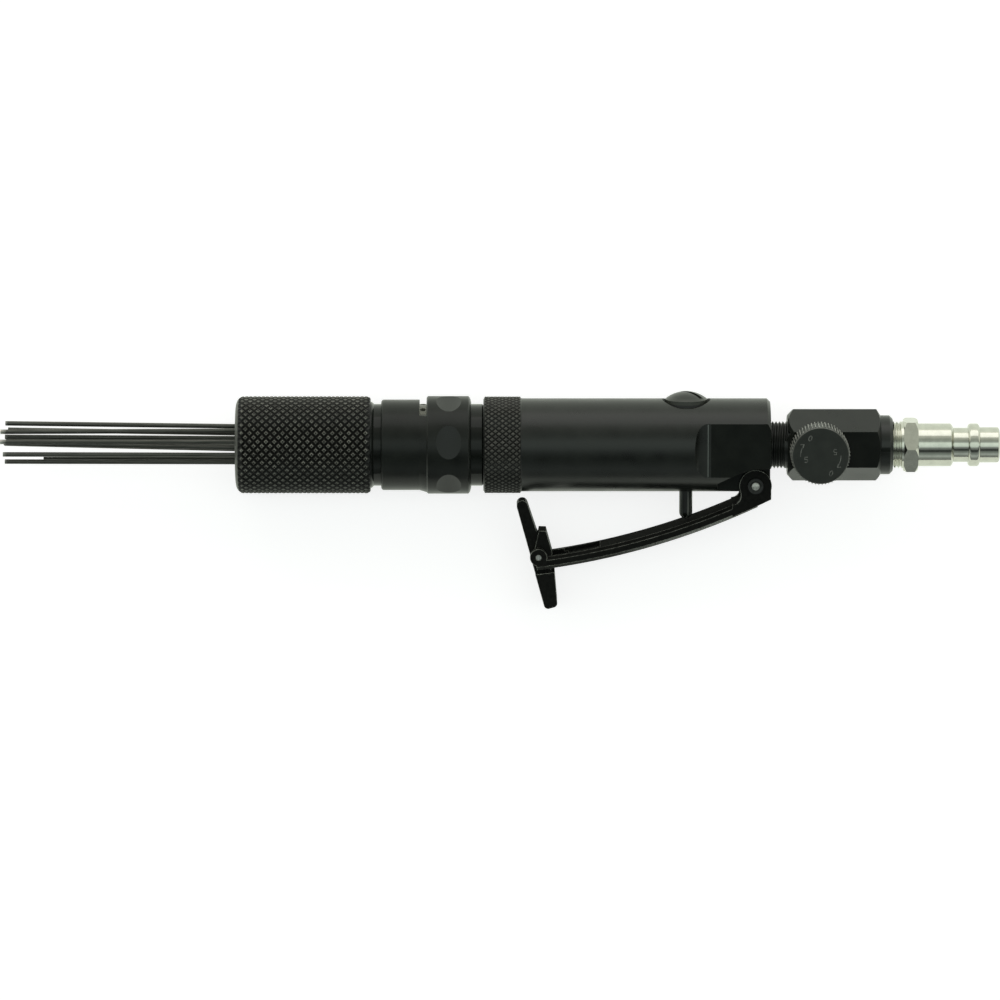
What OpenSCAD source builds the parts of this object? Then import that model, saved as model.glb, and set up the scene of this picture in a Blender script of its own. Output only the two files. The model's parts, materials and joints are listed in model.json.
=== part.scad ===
// Needle scaler: a compressed-air hand tool that drives a bundle of needles to and fro. Millimetres.
// Each piece is drawn about the tool's own axis: X along the tool with the housing's front face at zero,
// the needles towards -X, the air inlet towards +X, the lever towards -Y and the regulator knob towards +Z.
// place() then lays the tool on a bench, rolled until the latch's thumb piece touches the bench.

/* [Needles] */
// Diameter of a needle
needle_d = 1.3; // [1:0.1:1.6]
// How far the shorter needles stand out of the nose sleeve
needle_reach = 64.3; // [30:0.1:90]
// How much further the longest needles reach
needle_lead = 1.3; // [0:0.1:3]
// Pitch circle of the outer ring of needles
needle_ring_d = 9.9; // [9:0.1:10.6]
// Pitch circle of the inner needles
needle_core_d = 4.2; // [3.9:0.1:4.8]
// Angle of the needle that leans most away from the lever, in degrees
needle_splay = 1.35; // [0:0.05:1.5]
// Diameter of a needle's head
needle_head_d = 2.2; // [1.8:0.1:2.5]
// Length of a needle's head
needle_head_len = 2.2; // [1:0.1:3]

/* [Nose sleeve] */
// Outside diameter of the nose sleeve
sleeve_d = 27.1; // [25:0.1:32]
// Length of the nose sleeve
sleeve_len = 37.6; // [35:0.1:60]
// Wall of the nose sleeve round the needle pack
sleeve_wall = 3.85; // [3.6:0.05:4.2]
// Thickness of the front wall that the needles come out of
sleeve_front_wall = 2.5; // [1.5:0.1:4]
// Rounding of the front edge
sleeve_edge_r = 2.2; // [1:0.1:2.4]
// Length of one diamond of the knurl
knurl_pitch = 2.45; // [2:0.05:4]
// Width of one diamond of the knurl, round the sleeve
knurl_w = 2.03; // [1.8:0.01:4]
// Height of the knurl's diamonds
knurl_h = 0.55; // [0.2:0.05:0.7]

/* [Needle pack] */
// Thickness of the perforated guide plate
guide_len = 3; // [2:0.1:5]
// Thickness of the plate that carries the needle heads
holder_len = 6; // [4:0.1:7]
// Wire of the return spring
return_wire_d = 1.2; // [0.8:0.1:1.4]
// Turns of the return spring
return_turns = 4; // [3:1:5]
// Thickness of the anvil's head
anvil_head_len = 2.4; // [2:0.1:3.5]
// Diameter of the anvil's stem
anvil_stem_d = 10; // [8:0.1:11]

/* [Barrel] */
// Diameter of the barrel's two necks
barrel_d = 22.9; // [21.5:0.1:24]
// Length of the neck between nose sleeve and collar
front_neck_len = 3; // [1:0.1:8]
// Length of the neck between collar and housing
rear_neck_len = 3.4; // [1:0.1:8]
// Diameter of the spigots at both ends of the barrel
spigot_d = 20; // [19.6:0.1:20.4]
// Length of the front spigot inside the nose sleeve
front_spigot_len = 9.9; // [6:0.1:12]
// Length of the guide for the anvil's stem
stem_guide_len = 17; // [10:0.1:20]
// Diameter of the piston
piston_d = 14; // [12.5:0.1:14.5]
// Length of the piston
piston_len = 26; // [15:0.1:28]
// Diameter of the exhaust holes
exhaust_hole_d = 1.6; // [1:0.1:1.8]

/* [Front collar] */
// Diameter of the collar's plain band
collar_d = 25.3; // [24.8:0.1:26.5]
// Length of the plain band
collar_len = 10.7; // [5:0.1:16]
// Length of the ramp between the two bands
ramp_len = 2; // [1.9:0.1:4]
// Diameter of the band with finger spots
ring_d = 27.3; // [27:0.1:30]
// Length of the band with finger spots
ring_len = 12.4; // [9:0.1:18]
// Diameter of a finger spot
spot_d = 7.4; // [4:0.1:7.6]
// Depth of a finger spot
spot_depth = 0.6; // [0.4:0.05:0.8]
// Depth of the exhaust slot below the plain band
slot_depth = 3.1; // [1.9:0.05:3.4]

/* [Housing] */
// Diameter of the grip
housing_d = 26; // [25.4:0.1:27]
// Length of the housing
housing_len = 80; // [78:0.1:90]
// Diameter of the knurled front band
band_d = 26.4; // [26:0.1:27.2]
// Length of the knurled front band
band_len = 10.7; // [5:0.1:14]
// Width across the two spanner flats
flats_w = 21.2; // [20:0.1:22]
// Length of the spanner flats
flats_len = 17.4; // [14:0.1:18]
// Radius of the cutter that leaves the curved run-out of a flat
flats_cutter_r = 4.2; // [3:0.1:6]
// Width of the tongue between the lever's ears
tongue_w = 9.4; // [8:0.1:10]
// Length of the pockets for the lever's ears
pocket_len = 14.8; // [13:0.1:15.5]
// Depth of the pocket's ceiling below the axis, at the rear
pocket_drop = 5; // [4:0.1:5.4]
// Depth of the pocket's nose below the axis
pocket_nose_drop = 9.6; // [8:0.1:11]
// Metal between the valve case and the throttle's chamber
valve_wall = 9.75; // [4:0.05:20]

/* [Throttle] */
// Distance of the throttle valve from the housing's rear face
throttle_back = 23.4; // [22:0.1:26]
// Diameter of the throttle pin
pin_d = 3.7; // [3:0.1:4.2]
// Diameter of the cap screw's head
cap_head_d = 11.7; // [11:0.1:12.4]
// Diameter of the pocket that the cap screw sits in
cap_pocket_d = 13.6; // [13:0.1:14.5]
// Height of the pocket's floor above the axis
cap_floor = 11.2; // [10:0.1:11.6]
// Height of the cap screw's dome above the axis
cap_rise = 15.1; // [14.4:0.1:16]
// Diameter of the cap screw's thread
cap_thread_d = 9.6; // [9:0.1:10]
// Length of the cap screw's thread
cap_thread_len = 5.8; // [4:0.1:6.2]

/* [Throttle lever] */
// Distance of the lever's pivot in front of the housing's rear face
pivot_back = 4.1; // [3.8:0.1:5]
// Depth of the lever's pivot below the axis
pivot_drop = 10.65; // [10.4:0.05:11]
// Diameter of the lever's pivot pin
pivot_d = 2.3; // [1.8:0.1:2.6]
// Radius of the lever's curved lower face
lever_arc_r = 205; // [160:1:260]
// Depth of the lower face below the pivot
lever_drop = 5.7; // [5.4:0.1:6.4]
// Slope of the lever at its pivot, in degrees
lever_pitch = 25.8; // [24:0.1:28]
// Length of the lever from its pivot to the latch pin, along the curve
lever_len = 65.5; // [60:0.1:68]
// Width of the lever
lever_w = 13; // [12:0.1:14]
// Thickness of the lever
lever_t = 3.4; // [3:0.1:3.8]
// Radius of the ears round the pivot
ear_r = 4.5; // [3.6:0.1:5]

/* [Safety latch] */
// Width of the latch's blade
latch_w = 8; // [6:0.1:9]
// Width of the thumb piece
thumb_w = 12; // [9:0.1:13]
// How far each cheek of the latch stands out beside the blade
cheek_t = 1.1; // [0.5:0.1:1.6]
// Forward lean of the latch, in degrees
latch_lean = 15.5; // [12:0.1:18]
// Length of the blade above the latch pin
blade_len = 16.3; // [14:0.1:16.5]
// Thickness of the blade
blade_t = 3.1; // [2.6:0.1:3.4]
// Distance of the latch's front face before its pin
latch_front = 2.2; // [2:0.05:2.4]
// Length of the thumb piece below the latch pin
thumb_len = 14.85; // [12:0.05:18]
// Height of the latch pin above the lever's lower face
latch_rise = 3.6; // [3.5:0.05:3.8]
// Diameter of the latch pin
latch_pin_d = 1.4; // [1.2:0.1:1.6]
// Radius of the lever's eyes round the latch pin
eye_r = 2.4; // [2:0.1:2.8]

/* [Air inlet] */
// Diameter of the inlet's thread
inlet_thread_d = 13.1; // [12.5:0.1:13.5]
// Length of thread inside the housing
inlet_grip_len = 11; // [8:0.1:12]
// Length of thread that shows
inlet_neck_len = 4.8; // [2:0.1:8]
// Width across the flats of the inlet hexagon
inlet_hex_w = 17.5; // [17:0.1:20]
// Length of the inlet hexagon
inlet_hex_len = 26; // [24:0.1:34]
// Diameter of the round spigot behind the hexagon
inlet_spigot_d = 16.5; // [16:0.1:17]
// Length of the round spigot
inlet_spigot_len = 3.4; // [2:0.1:6]
// Diameter of the air passage
inlet_bore_d = 7; // [5:0.1:7.4]

/* [Regulator] */
// Distance of the regulator behind the hexagon's front face
knob_x = 8.6; // [8.3:0.1:10]
// Diameter of the regulator knob
knob_d = 16.4; // [12:0.1:16.6]
// Thickness of the regulator knob
knob_t = 9.9; // [7:0.1:12]
// Width of one tooth of the knob's rim
knob_tooth_w = 0.954; // [0.8:0.002:1.6]
// Height of the teeth of the knob's rim
knob_tooth_h = 0.5; // [0.45:0.05:0.6]
// Diameter of the regulator stem
stem_d = 8; // [7.6:0.1:8.4]
// Diameter of the air port through the stem
port_d = 5; // [3:0.1:5.4]

/* [Hose nipple] */
// Diameter of the nipple's thread
nipple_thread_d = 13.1; // [12.5:0.1:13.4]
// Length of thread inside the inlet
nipple_grip_len = 8; // [5:0.1:9]
// Length of thread that shows
nipple_neck_len = 3; // [1:0.1:6]
// Width across the flats of the nipple's hexagon
nipple_hex_w = 14; // [13.6:0.1:17]
// Length of the nipple's hexagon
nipple_hex_len = 4; // [3:0.1:8]
// Diameter of the plug's body
plug_d = 12; // [11:0.1:13]
// Length of the plug's body
plug_len = 9.6; // [6:0.1:14]
// Diameter of the locking groove
groove_d = 9.6; // [9:0.1:10.4]
// Length of the locking groove
groove_len = 4.4; // [3:0.1:6]
// Length of the bead
bead_len = 3.3; // [2.6:0.1:5]
// Diameter of the plug's tip
tip_d = 9.9; // [9:0.1:10.6]
// Length of the plug's tip
tip_len = 5.5; // [3:0.1:8]
// Diameter of the plug's bore
nipple_bore_d = 7; // [5:0.1:7.4]

/* [Hidden] */
// Fineness of round faces, of the lever's long arcs, and of arcs inside outlines
round_facets = 96;
arc_facets = 1080;
arc_steps = 8;
// Overrun of cuts, and the clearances: threads and seats, running fits, sliding pieces, needles in plates
over = 1;
fit = 0.05;
run_gap = 0.05;
slide_gap = 0.3;
needle_gap = 0.25;
// Edge breaks
bevel = 0.4;
wide_bevel = 0.9;
// Needles: the bundle's turn about the axis in degrees, and each one's share of the largest lean
// and of the longest lead (one needle is worn short)
needle_turn = -18.8;
outer_lean_shares = [0.55, -0.2, 0, 0.1, 0.1, 0, 0.6, 0.67];
inner_lean_shares = [0.25, 0.8, 1, 0.4];
outer_lead_shares = [0.1, 1, 1, 0.4, 0.15, -8, 0.2, -0.3];
inner_lead_shares = [0.1, 0.3, 0.2, 0];
outer_needles = len(outer_lean_shares);
inner_needles = len(inner_lean_shares);
mouth_gap = 0.8;
needle_r = needle_d / 2;
// Nose sleeve
sleeve_r = sleeve_d / 2;
sleeve_bore_r = sleeve_r - sleeve_wall;
knurl_seat = 0.2;
core_r = sleeve_r - knurl_h - knurl_seat;
knurl_seat_r = core_r - knurl_seat;
mouth_r = (needle_ring_d + needle_d) / 2 + mouth_gap;
spigot_r = spigot_d / 2;
barrel_r = barrel_d / 2;
// Places along the axis, from the housing's front face forwards
x_ring_rear = -rear_neck_len;
x_ring_front = x_ring_rear - ring_len;
x_ramp_front = x_ring_front - ramp_len;
x_collar_front = x_ramp_front - collar_len;
x_sleeve_rear = x_collar_front - front_neck_len;
x_sleeve_front = x_sleeve_rear - sleeve_len;
x_guide_front = x_sleeve_front + sleeve_front_wall;
x_guide_rear = x_guide_front + guide_len;
x_barrel_front = x_sleeve_rear - front_spigot_len;
x_anvil_rear = x_barrel_front - fit;
x_anvil_front = x_anvil_rear - anvil_head_len;
x_heads_rear = x_anvil_front - fit;
x_holder_rear = x_heads_rear - needle_head_len - fit;
x_holder_front = x_holder_rear - holder_len;
needle_len = x_holder_rear - x_sleeve_front + needle_reach;
x_tips = x_sleeve_front - needle_reach - needle_lead;
// Needle pack
guide_r = sleeve_bore_r - run_gap;
holder_r = sleeve_bore_r - slide_gap;
return_spring_r = sleeve_bore_r - 2 * slide_gap - return_wire_d / 2;
anvil_stem_r = anvil_stem_d / 2;
stem_proud = 1.4;
x_stem_rear = x_barrel_front + stem_guide_len + stem_proud;
// Barrel, piston and valve
shoulder_rise = 0.6;
x_bore_front = x_barrel_front + stem_guide_len;
piston_r = piston_d / 2;
cylinder_r = piston_r + run_gap;
piston_rest_gap = 0.5;
piston_waist = 0.5;
piston_waist_shares = [0.3, 0.7];
x_piston_front = x_stem_rear + piston_rest_gap;
seal_d = 1.4;
seal_x = 6;
valve_seat_len = 4;
valve_case_len = 8;
valve_disc_d = 10.4;
valve_disc_t = 1.2;
valve_lift = 0.7;
valve_port_d = 5;
valve_hole_d = 2.2;
valve_hole_circle_d = 6.6;
valve_holes = 4;
valve_inlet_d = 15;
valve_inlet_depth = 1.5;
// The valve stack ends in front of the throttle's chamber, and the barrel's rear spigot reaches up to it
x_rear = housing_len;
throttle_x = x_rear - throttle_back;
chamber_r = cap_thread_d / 2 + fit;
x_case_rear = throttle_x - chamber_r - valve_wall;
x_case_front = x_case_rear - valve_case_len;
rear_spigot_len = x_case_front - valve_seat_len;
// Exhaust holes under the collar's slot
exhaust_angles = [-22, 0, 22];
x_exhaust = x_ramp_front + ramp_len / 2;
// Collar
collar_r = collar_d / 2;
ring_r = ring_d / 2;
collar_edge_r = (collar_d - barrel_d) / 2 - fit - bevel;
spots = 6;
first_spot_angle = 18;
// Housing
housing_r = housing_d / 2;
band_r = band_d / 2;
x_flat = x_rear - flats_len;
flats_cutter_sink = 0.06;
pocket_knee_shares = [[0.34, 0.62], [0.7, 0.955]];
passage_d = 6;
passage_rise = 2;
outlet_d = 4.6;
outlet_drop = 5.2;
// Throttle
pin_r = pin_d / 2;
seat_drop = 1.5;
bush_wall = 1.15;
lower_bore_r = pin_r + bush_wall;
poppet_d = 7.8;
poppet_t = 2.5;
poppet_nose_d = 4.4;
poppet_nose_len = 1.2;
poppet_spigot_d = 3.4;
poppet_spigot_len = 1.2;
bush_len = 4;
bush_sink = 0.4;
cap_seal_t = 0.8;
cap_rim = 1;
cap_slot_w = 1.3;
cap_slot_depth = 1.6;
cap_slot_turn = -36;
throttle_wire_d = 0.6;
throttle_turns = 4;
pin_lever_gap = 0.25;
// Lever: its pivot, the centre of its arc, and the arc angles of its tip, latch pin and rear end
pivot = [x_rear - pivot_back, -pivot_drop];
pivot_r = pivot_d / 2;
lever_centre = pivot + (lever_arc_r - lever_drop) * [-sin(lever_pitch), cos(lever_pitch)];
function arc_angle(length) = length / lever_arc_r * 180 / PI;
latch_angle = lever_pitch - arc_angle(lever_len);
lever_top_r = lever_arc_r - lever_t;
ear_gap = 0.2;
ear_in = tongue_w / 2 + ear_gap;
ear_t = lever_w / 2 - ear_in;
ear_heel_share = 0.97;
ear_front_share = 0.9;
ear_fillet_r = 2.4;
bar_rear_back = 2;
bar_tip_len = 0.9;
pin_head_d = 4.3;
pin_head_t = 0.5;
stake_r = 1.1;
stake_ring_r = 1.7;
stake_depth = 0.3;
stake_rise = 0.25;
// Latch: its pin's place, then its outline about that pin
latch_pivot = lever_centre + (lever_arc_r - latch_rise) * [sin(latch_angle), -cos(latch_angle)];
latch_pin_r = latch_pin_d / 2;
latch_side_gap = 0.2;
fork_w = latch_w + 2 * latch_side_gap;
fork_len = 8.4;
groove_w = fork_w + latch_side_gap;
groove_reach = 1.4;
lever_groove_depth = 0.9;
blade_back = blade_t - latch_front;
blade_w = latch_w - 2 * cheek_t;
blade_root_back = 1.3;
cheek_foot = 1;
cheek_front = 2;
cheek_rise = 6.9;
cheek_back = 3.9;
cheek_slope = 0.6;
cheek_drop = 0.4;
neck_back = 2.3;
neck_drop = 2.4;
thumb_gap = 1.15;
thumb_back = 3.2;
thumb_tip_w = 3.8;
thumb_tip_r = 1.2;
latch_spring_wire_d = 0.4;
latch_spring_r = 1.3;
latch_spring_turns = 2.5;
latch_spring_w = 2.7;
latch_pocket_r = 1.75;
latch_pocket_w = 3.2;
// Throttle pin: its round lower end clears the lever's upper face
pin_ball_reach = sqrt(pow(lever_top_r - pin_r - pin_lever_gap, 2) - pow(throttle_x - lever_centre[0], 2));
pin_low = lever_centre[1] - pin_ball_reach;
pin_top = -seat_drop - poppet_nose_len;
// Air inlet and regulator
x_hex = x_rear + inlet_neck_len;
x_hex_rear = x_hex + inlet_hex_len;
x_inlet_rear = x_hex_rear + inlet_spigot_len;
hex_corner_share = 1 / cos(30);
hex_drop = 1.8;
hex_front_len = 1.7;
hex_rear_len = 1.2;
x_knob = x_hex + knob_x;
stem_r = stem_d / 2;
stem_low = 7;
knob_gap = 0.35;
knob_low = inlet_hex_w / 2 + knob_gap;
knob_top = knob_low + knob_t;
knob_key_d = 6;
knob_key_len = 6.5;
knob_lip = 1.2;
crest_share = 0.25;
stem_seal_d = 1.1;
stem_seal_z = 4.7;
keeper_d = 1.6;
keeper_len = 9;
keeper_z = 7;
keeper_bite = 0.6;
keeper_y = stem_r - keeper_bite + keeper_d / 2;
// Hose nipple
x_nipple_hex = x_inlet_rear + nipple_neck_len;
x_plug = x_nipple_hex + nipple_hex_len;
x_groove = x_plug + plug_len;
x_bead = x_groove + groove_len;
x_tip = x_bead + bead_len;
x_end = x_tip + tip_len;
bead_edge_r = 0.9;
nipple_drop = 0.9;
// Rest on the bench: height of the axis, roll, and the shift that centres the tool's box
axis_height = max(ring_d, sleeve_d, band_d, housing_d) / 2;
thumb_tip_centre = [thumb_tip_r - latch_front, thumb_tip_r - thumb_len];
thumb_centre_drop = -thumb_tip_centre * [sin(latch_lean), cos(latch_lean)];
latch_reach = thumb_centre_drop + thumb_tip_r - latch_pivot[1];
roll = asin(axis_height / norm([latch_reach, thumb_w / 2])) - atan2(thumb_w / 2, latch_reach);
x_shift = -(x_tips + x_end) / 2;
y_shift = (latch_reach * cos(roll) + thumb_w / 2 * sin(roll) - cap_rise * cos(roll)) / 2;

// Colours
black_oxide = "#2b2c2f";
cast_black = "#1d1d1f";
bright_steel = "#b9bcc0";
plated = "#d9dadc";
spring_steel = "#8c9096";
bronze = "#a98a54";
seal_black = "#18181a";

// Lays a piece down on the bench with the rest of the tool
module place() {
    translate([x_shift, y_shift, axis_height]) rotate([roll, 0, 0]) children();
}

// Points of an arc about a centre
function arc_points(centre, r, from, to) =
    [for (i = [0:arc_steps]) let (a = from + (to - from) * i / arc_steps) centre + r * [cos(a), sin(a)]];

// Points of a dome from its rim to its top on the axis
function dome_points(rim_r, top, rise) = let (r = (rim_r * rim_r + rise * rise) / (2 * rise))
    arc_points([0, top - r], r, 90 - asin(rim_r / r), 90);

// A profile of [radius, station], turned about the tool's axis or about the throttle's axis
module turned() {
    rotate([0, 90, 0]) rotate_extrude($fn = round_facets) children();
}

module turned_y() {
    rotate([-90, 0, 0]) rotate_extrude($fn = round_facets) children();
}

// Round bars along X, Y and Z
module bar_x(from, to, r) {
    translate([from, 0, 0]) rotate([0, 90, 0]) cylinder(h = to - from, r = r, $fn = round_facets);
}

module bar_y(from, to, r) {
    translate([0, from, 0]) rotate([-90, 0, 0]) cylinder(h = to - from, r = r, $fn = round_facets);
}

module bar_z(from, to, r) {
    translate([0, 0, from]) cylinder(h = to - from, r = r, $fn = round_facets);
}

// A hexagon bar along X, flats facing the knob, with its corners turned down at both ends
module hex_bar(from, to, width, drop, front_len, rear_len) {
    corner_r = width / 2 * hex_corner_share;
    intersection() {
        translate([from, 0, 0]) rotate([0, 90, 0]) rotate([0, 0, 30])
            cylinder(h = to - from, r = corner_r, $fn = 6);
        turned() polygon([
            [0, from], [corner_r - drop, from], [corner_r + fit, from + front_len],
            [corner_r + fit, to - rear_len], [corner_r - drop, to], [0, to]
        ]);
    }
}

// Centre line and tube of a coil along Z, eight rings a turn, six sides a ring
function coil_line(r, pitch, turns) =
    [for (i = [0:8 * turns]) [r * cos(45 * i), r * sin(45 * i), pitch * i / 8]];

function coil_gap(line, wire_d) =
    min([for (i = [0:len(line) - 9]) norm(line[i + 8] - line[i])]) - wire_d;

module coil(r, wire_d, turns, length) {
    pitch = (length - wire_d) / turns;
    line = coil_line(r, pitch, turns);
    echo(coil_gap = coil_gap(line, wire_d));
    rings = len(line);
    points = [for (i = [0:rings - 1]) for (s = [0:5])
        line[i] + wire_d / 2 * [cos(60 * s) * cos(45 * i), cos(60 * s) * sin(45 * i), sin(60 * s)]];
    sides = [for (i = [0:rings - 2]) for (s = [0:5]) each
        let (a = 6 * i + s, b = 6 * i + (s + 1) % 6)
        [[a, a + 6, b], [b, a + 6, b + 6]]];
    caps = [for (s = [1:4]) each [
        [0, s, s + 1],
        [6 * (rings - 1), 6 * (rings - 1) + s + 1, 6 * (rings - 1) + s]
    ]];
    translate([0, 0, wire_d / 2]) polyhedron(points, concat(sides, caps));
}

// Every needle's place across the axis, lean and lead
function ring_place(d, turn) = d / 2 * [cos(needle_turn + 360 * turn), sin(needle_turn + 360 * turn)];
needle_spots = concat(
    [for (i = [0:outer_needles - 1]) [ring_place(needle_ring_d, i / outer_needles),
        needle_splay * outer_lean_shares[i], needle_lead * outer_lead_shares[i]]],
    [for (i = [0:inner_needles - 1]) [ring_place(needle_core_d, (i + 1 / 2) / inner_needles),
        needle_splay * inner_lean_shares[i], needle_lead * inner_lead_shares[i]]]
);

// A round rod along every needle's leaning line, from behind the needle holder forwards
module needle_rods(r, extra) {
    for (spot = needle_spots)
        translate([x_holder_rear, spot[0][0], spot[0][1]]) rotate([0, 0, -spot[1]])
            bar_x(-needle_len - spot[2], extra, r);
}

// The rounded front edge's radius at a station behind the nose sleeve's front face
function edge_radius(back) = back >= sleeve_edge_r ? sleeve_r
    : sleeve_r - sleeve_edge_r + sqrt(sleeve_edge_r * sleeve_edge_r - pow(sleeve_edge_r - back, 2));

// A tube with a diamond knurl: rows of peaks and valleys in turn, cut down by the rounded front edge
module knurl_ring(from, to) {
    columns = 2 * round(2 * PI * sleeve_r / knurl_w);
    rows = 2 * round((to - from) / knurl_pitch);
    rings = [for (row = [0:rows]) let (x = from + (to - from) * row / rows)
        [for (i = [0:columns - 1]) let (
            peak = sleeve_r - ((i + row) % 2) * knurl_h,
            r = min(peak, edge_radius(x - x_sleeve_front)),
            a = 360 * i / columns
        ) [x, r * cos(a), r * sin(a)]]];
    seats = [for (x = [to, from])
        [for (i = [0:columns - 1]) let (a = 360 * i / columns)
            [x, knurl_seat_r * cos(a), knurl_seat_r * sin(a)]]];
    loops = concat(rings, seats);
    count = len(loops);
    faces = [for (row = [0:count - 1]) for (i = [0:columns - 1]) each
        let (
            next = (row + 1) % count, j = (i + 1) % columns,
            a = row * columns + i, b = row * columns + j, c = next * columns + j, d = next * columns + i
        )
        (i + row) % 2 == 0 ? [[a, d, b], [b, d, c]] : [[a, c, b], [a, d, c]]];
    polyhedron(points = [for (loop = loops) each loop], faces = faces);
}

module nose_sleeve() {
    edge_centre = [sleeve_r - sleeve_edge_r, x_sleeve_front + sleeve_edge_r];
    edge_angle = acos((core_r - edge_centre[0]) / sleeve_edge_r);
    x_core = edge_centre[1] - sleeve_edge_r * sin(edge_angle);
    color(black_oxide) place() union() {
        turned() polygon(concat(
            [[mouth_r, x_sleeve_front]],
            arc_points(edge_centre, sleeve_edge_r, -90, -edge_angle),
            [
                [core_r, x_sleeve_rear - bevel], [core_r - bevel, x_sleeve_rear],
                [spigot_r + fit, x_sleeve_rear], [spigot_r + fit, x_barrel_front],
                [sleeve_bore_r, x_barrel_front], [sleeve_bore_r, x_guide_front], [mouth_r, x_guide_front]
            ]
        ));
        knurl_ring(x_core + knurl_seat, x_sleeve_rear - bevel);
    }
}

module needle_guide() {
    color(bright_steel) place() difference() {
        bar_x(x_guide_front, x_guide_rear, guide_r);
        needle_rods(needle_r + needle_gap, 0);
    }
}

module needles() {
    color(bright_steel) place() {
        needle_rods(needle_r, fit);
        for (spot = needle_spots)
            translate([x_holder_rear, spot[0][0], spot[0][1]]) rotate([0, 0, -spot[1]])
                bar_x(fit, needle_head_len, needle_head_d / 2);
    }
}

module needle_holder() {
    color(black_oxide) place() difference() {
        bar_x(x_holder_front, x_holder_rear, holder_r);
        needle_rods(needle_r + run_gap, over);
    }
}

module return_spring() {
    color(spring_steel) place() translate([x_guide_rear + fit, 0, 0]) rotate([0, 90, 0])
        coil(return_spring_r, return_wire_d, return_turns, x_holder_front - x_guide_rear - 2 * fit);
}

module anvil() {
    color(bright_steel) place() turned() polygon([
        [0, x_anvil_front], [holder_r - bevel, x_anvil_front], [holder_r, x_anvil_front + bevel],
        [holder_r, x_anvil_rear], [anvil_stem_r, x_anvil_rear], [anvil_stem_r, x_stem_rear - bevel],
        [anvil_stem_r - bevel, x_stem_rear], [0, x_stem_rear]
    ]);
}

module barrel() {
    seal_groove = seal_d + fit;
    color(black_oxide) place() difference() {
        turned() polygon([
            [anvil_stem_r + run_gap, x_barrel_front], [spigot_r - bevel, x_barrel_front],
            [spigot_r, x_barrel_front + bevel], [spigot_r, x_sleeve_rear],
            [barrel_r + shoulder_rise, x_sleeve_rear], [barrel_r + shoulder_rise, x_sleeve_rear + bevel],
            [barrel_r, x_sleeve_rear + bevel + shoulder_rise],
            [barrel_r, -bevel], [barrel_r - bevel, 0],
            [spigot_r, 0], [spigot_r, seal_x],
            [spigot_r - seal_groove, seal_x], [spigot_r - seal_groove, seal_x + seal_groove + fit],
            [spigot_r, seal_x + seal_groove + fit], [spigot_r, rear_spigot_len],
            [cylinder_r, rear_spigot_len], [cylinder_r, x_bore_front], [anvil_stem_r + run_gap, x_bore_front]
        ]);
        for (a = exhaust_angles)
            translate([x_exhaust, 0, 0]) rotate([a, 0, 0]) bar_y(0, barrel_r + over, exhaust_hole_d / 2);
    }
}

module front_collar() {
    color(black_oxide) place() difference() {
        turned() polygon(concat(
            [[barrel_r + fit, x_ring_rear], [barrel_r + fit, x_collar_front]],
            arc_points([collar_r - collar_edge_r, x_collar_front + collar_edge_r], collar_edge_r, -90, 0),
            [
                [collar_r, x_ramp_front], [ring_r - bevel, x_ring_front], [ring_r, x_ring_front + bevel],
                [ring_r, x_ring_rear - wide_bevel], [ring_r - wide_bevel, x_ring_rear]
            ]
        ));
        translate([x_ramp_front, collar_r - slot_depth, -ring_r]) cube([ramp_len, ring_r, 2 * ring_r]);
        for (i = [0:spots - 1])
            rotate([first_spot_angle + 360 * i / spots, 0, 0])
                translate([x_ring_front + ring_len / 2, 0, 0])
                    bar_y(ring_r - spot_depth, ring_r + over, spot_d / 2);
    }
}

module piston() {
    x_waist = [for (share = piston_waist_shares) x_piston_front + piston_len * share];
    color(bright_steel) place() turned() polygon([
        [0, x_piston_front], [piston_r - bevel, x_piston_front], [piston_r, x_piston_front + bevel],
        [piston_r, x_waist[0]], [piston_r - piston_waist, x_waist[0] + piston_waist],
        [piston_r - piston_waist, x_waist[1] - piston_waist], [piston_r, x_waist[1]],
        [piston_r, x_piston_front + piston_len - bevel],
        [piston_r - bevel, x_piston_front + piston_len], [0, x_piston_front + piston_len]
    ]);
}

module barrel_seal() {
    color(seal_black) place() turned()
        translate([spigot_r - seal_d / 2, seal_x + seal_d / 2 + fit]) circle(d = seal_d, $fn = round_facets);
}

module valve_seat() {
    disc_depth = valve_disc_t + valve_lift + 2 * fit;
    disc_r = valve_disc_d / 2 + run_gap;
    color(bright_steel) place() turned() polygon([
        [valve_port_d / 2, rear_spigot_len], [spigot_r, rear_spigot_len], [spigot_r, x_case_front],
        [disc_r, x_case_front], [disc_r, x_case_front - disc_depth],
        [valve_port_d / 2, x_case_front - disc_depth]
    ]);
}

module valve_disc() {
    x_disc_rear = x_case_front - fit;
    color(spring_steel) place() bar_x(x_disc_rear - valve_disc_t, x_disc_rear, valve_disc_d / 2);
}

module valve_case() {
    color(bright_steel) place() difference() {
        bar_x(x_case_front, x_case_rear, spigot_r);
        bar_x(x_case_rear - valve_inlet_depth, x_case_rear + over, valve_inlet_d / 2);
        for (i = [0:valve_holes - 1])
            rotate([360 * i / valve_holes, 0, 0]) translate([0, valve_hole_circle_d / 2, 0])
                bar_x(x_case_front - over, x_case_rear, valve_hole_d / 2);
    }
}

// One side's pocket for a lever ear, cut from the tongue outwards below a sloping ceiling
module ear_pocket() {
    rise = pocket_nose_drop - pocket_drop;
    x_nose = x_rear - pocket_len;
    knees = [for (share = pocket_knee_shares)
        [x_nose + pocket_len * share[0], -pocket_nose_drop + rise * share[1]]];
    translate([0, 0, tongue_w / 2]) linear_extrude(housing_r) polygon(concat(
        [[x_nose, -housing_r - over], [x_nose, -pocket_nose_drop]],
        knees,
        [[x_rear + over, -pocket_drop], [x_rear + over, -housing_r - over]]
    ));
}

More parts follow.
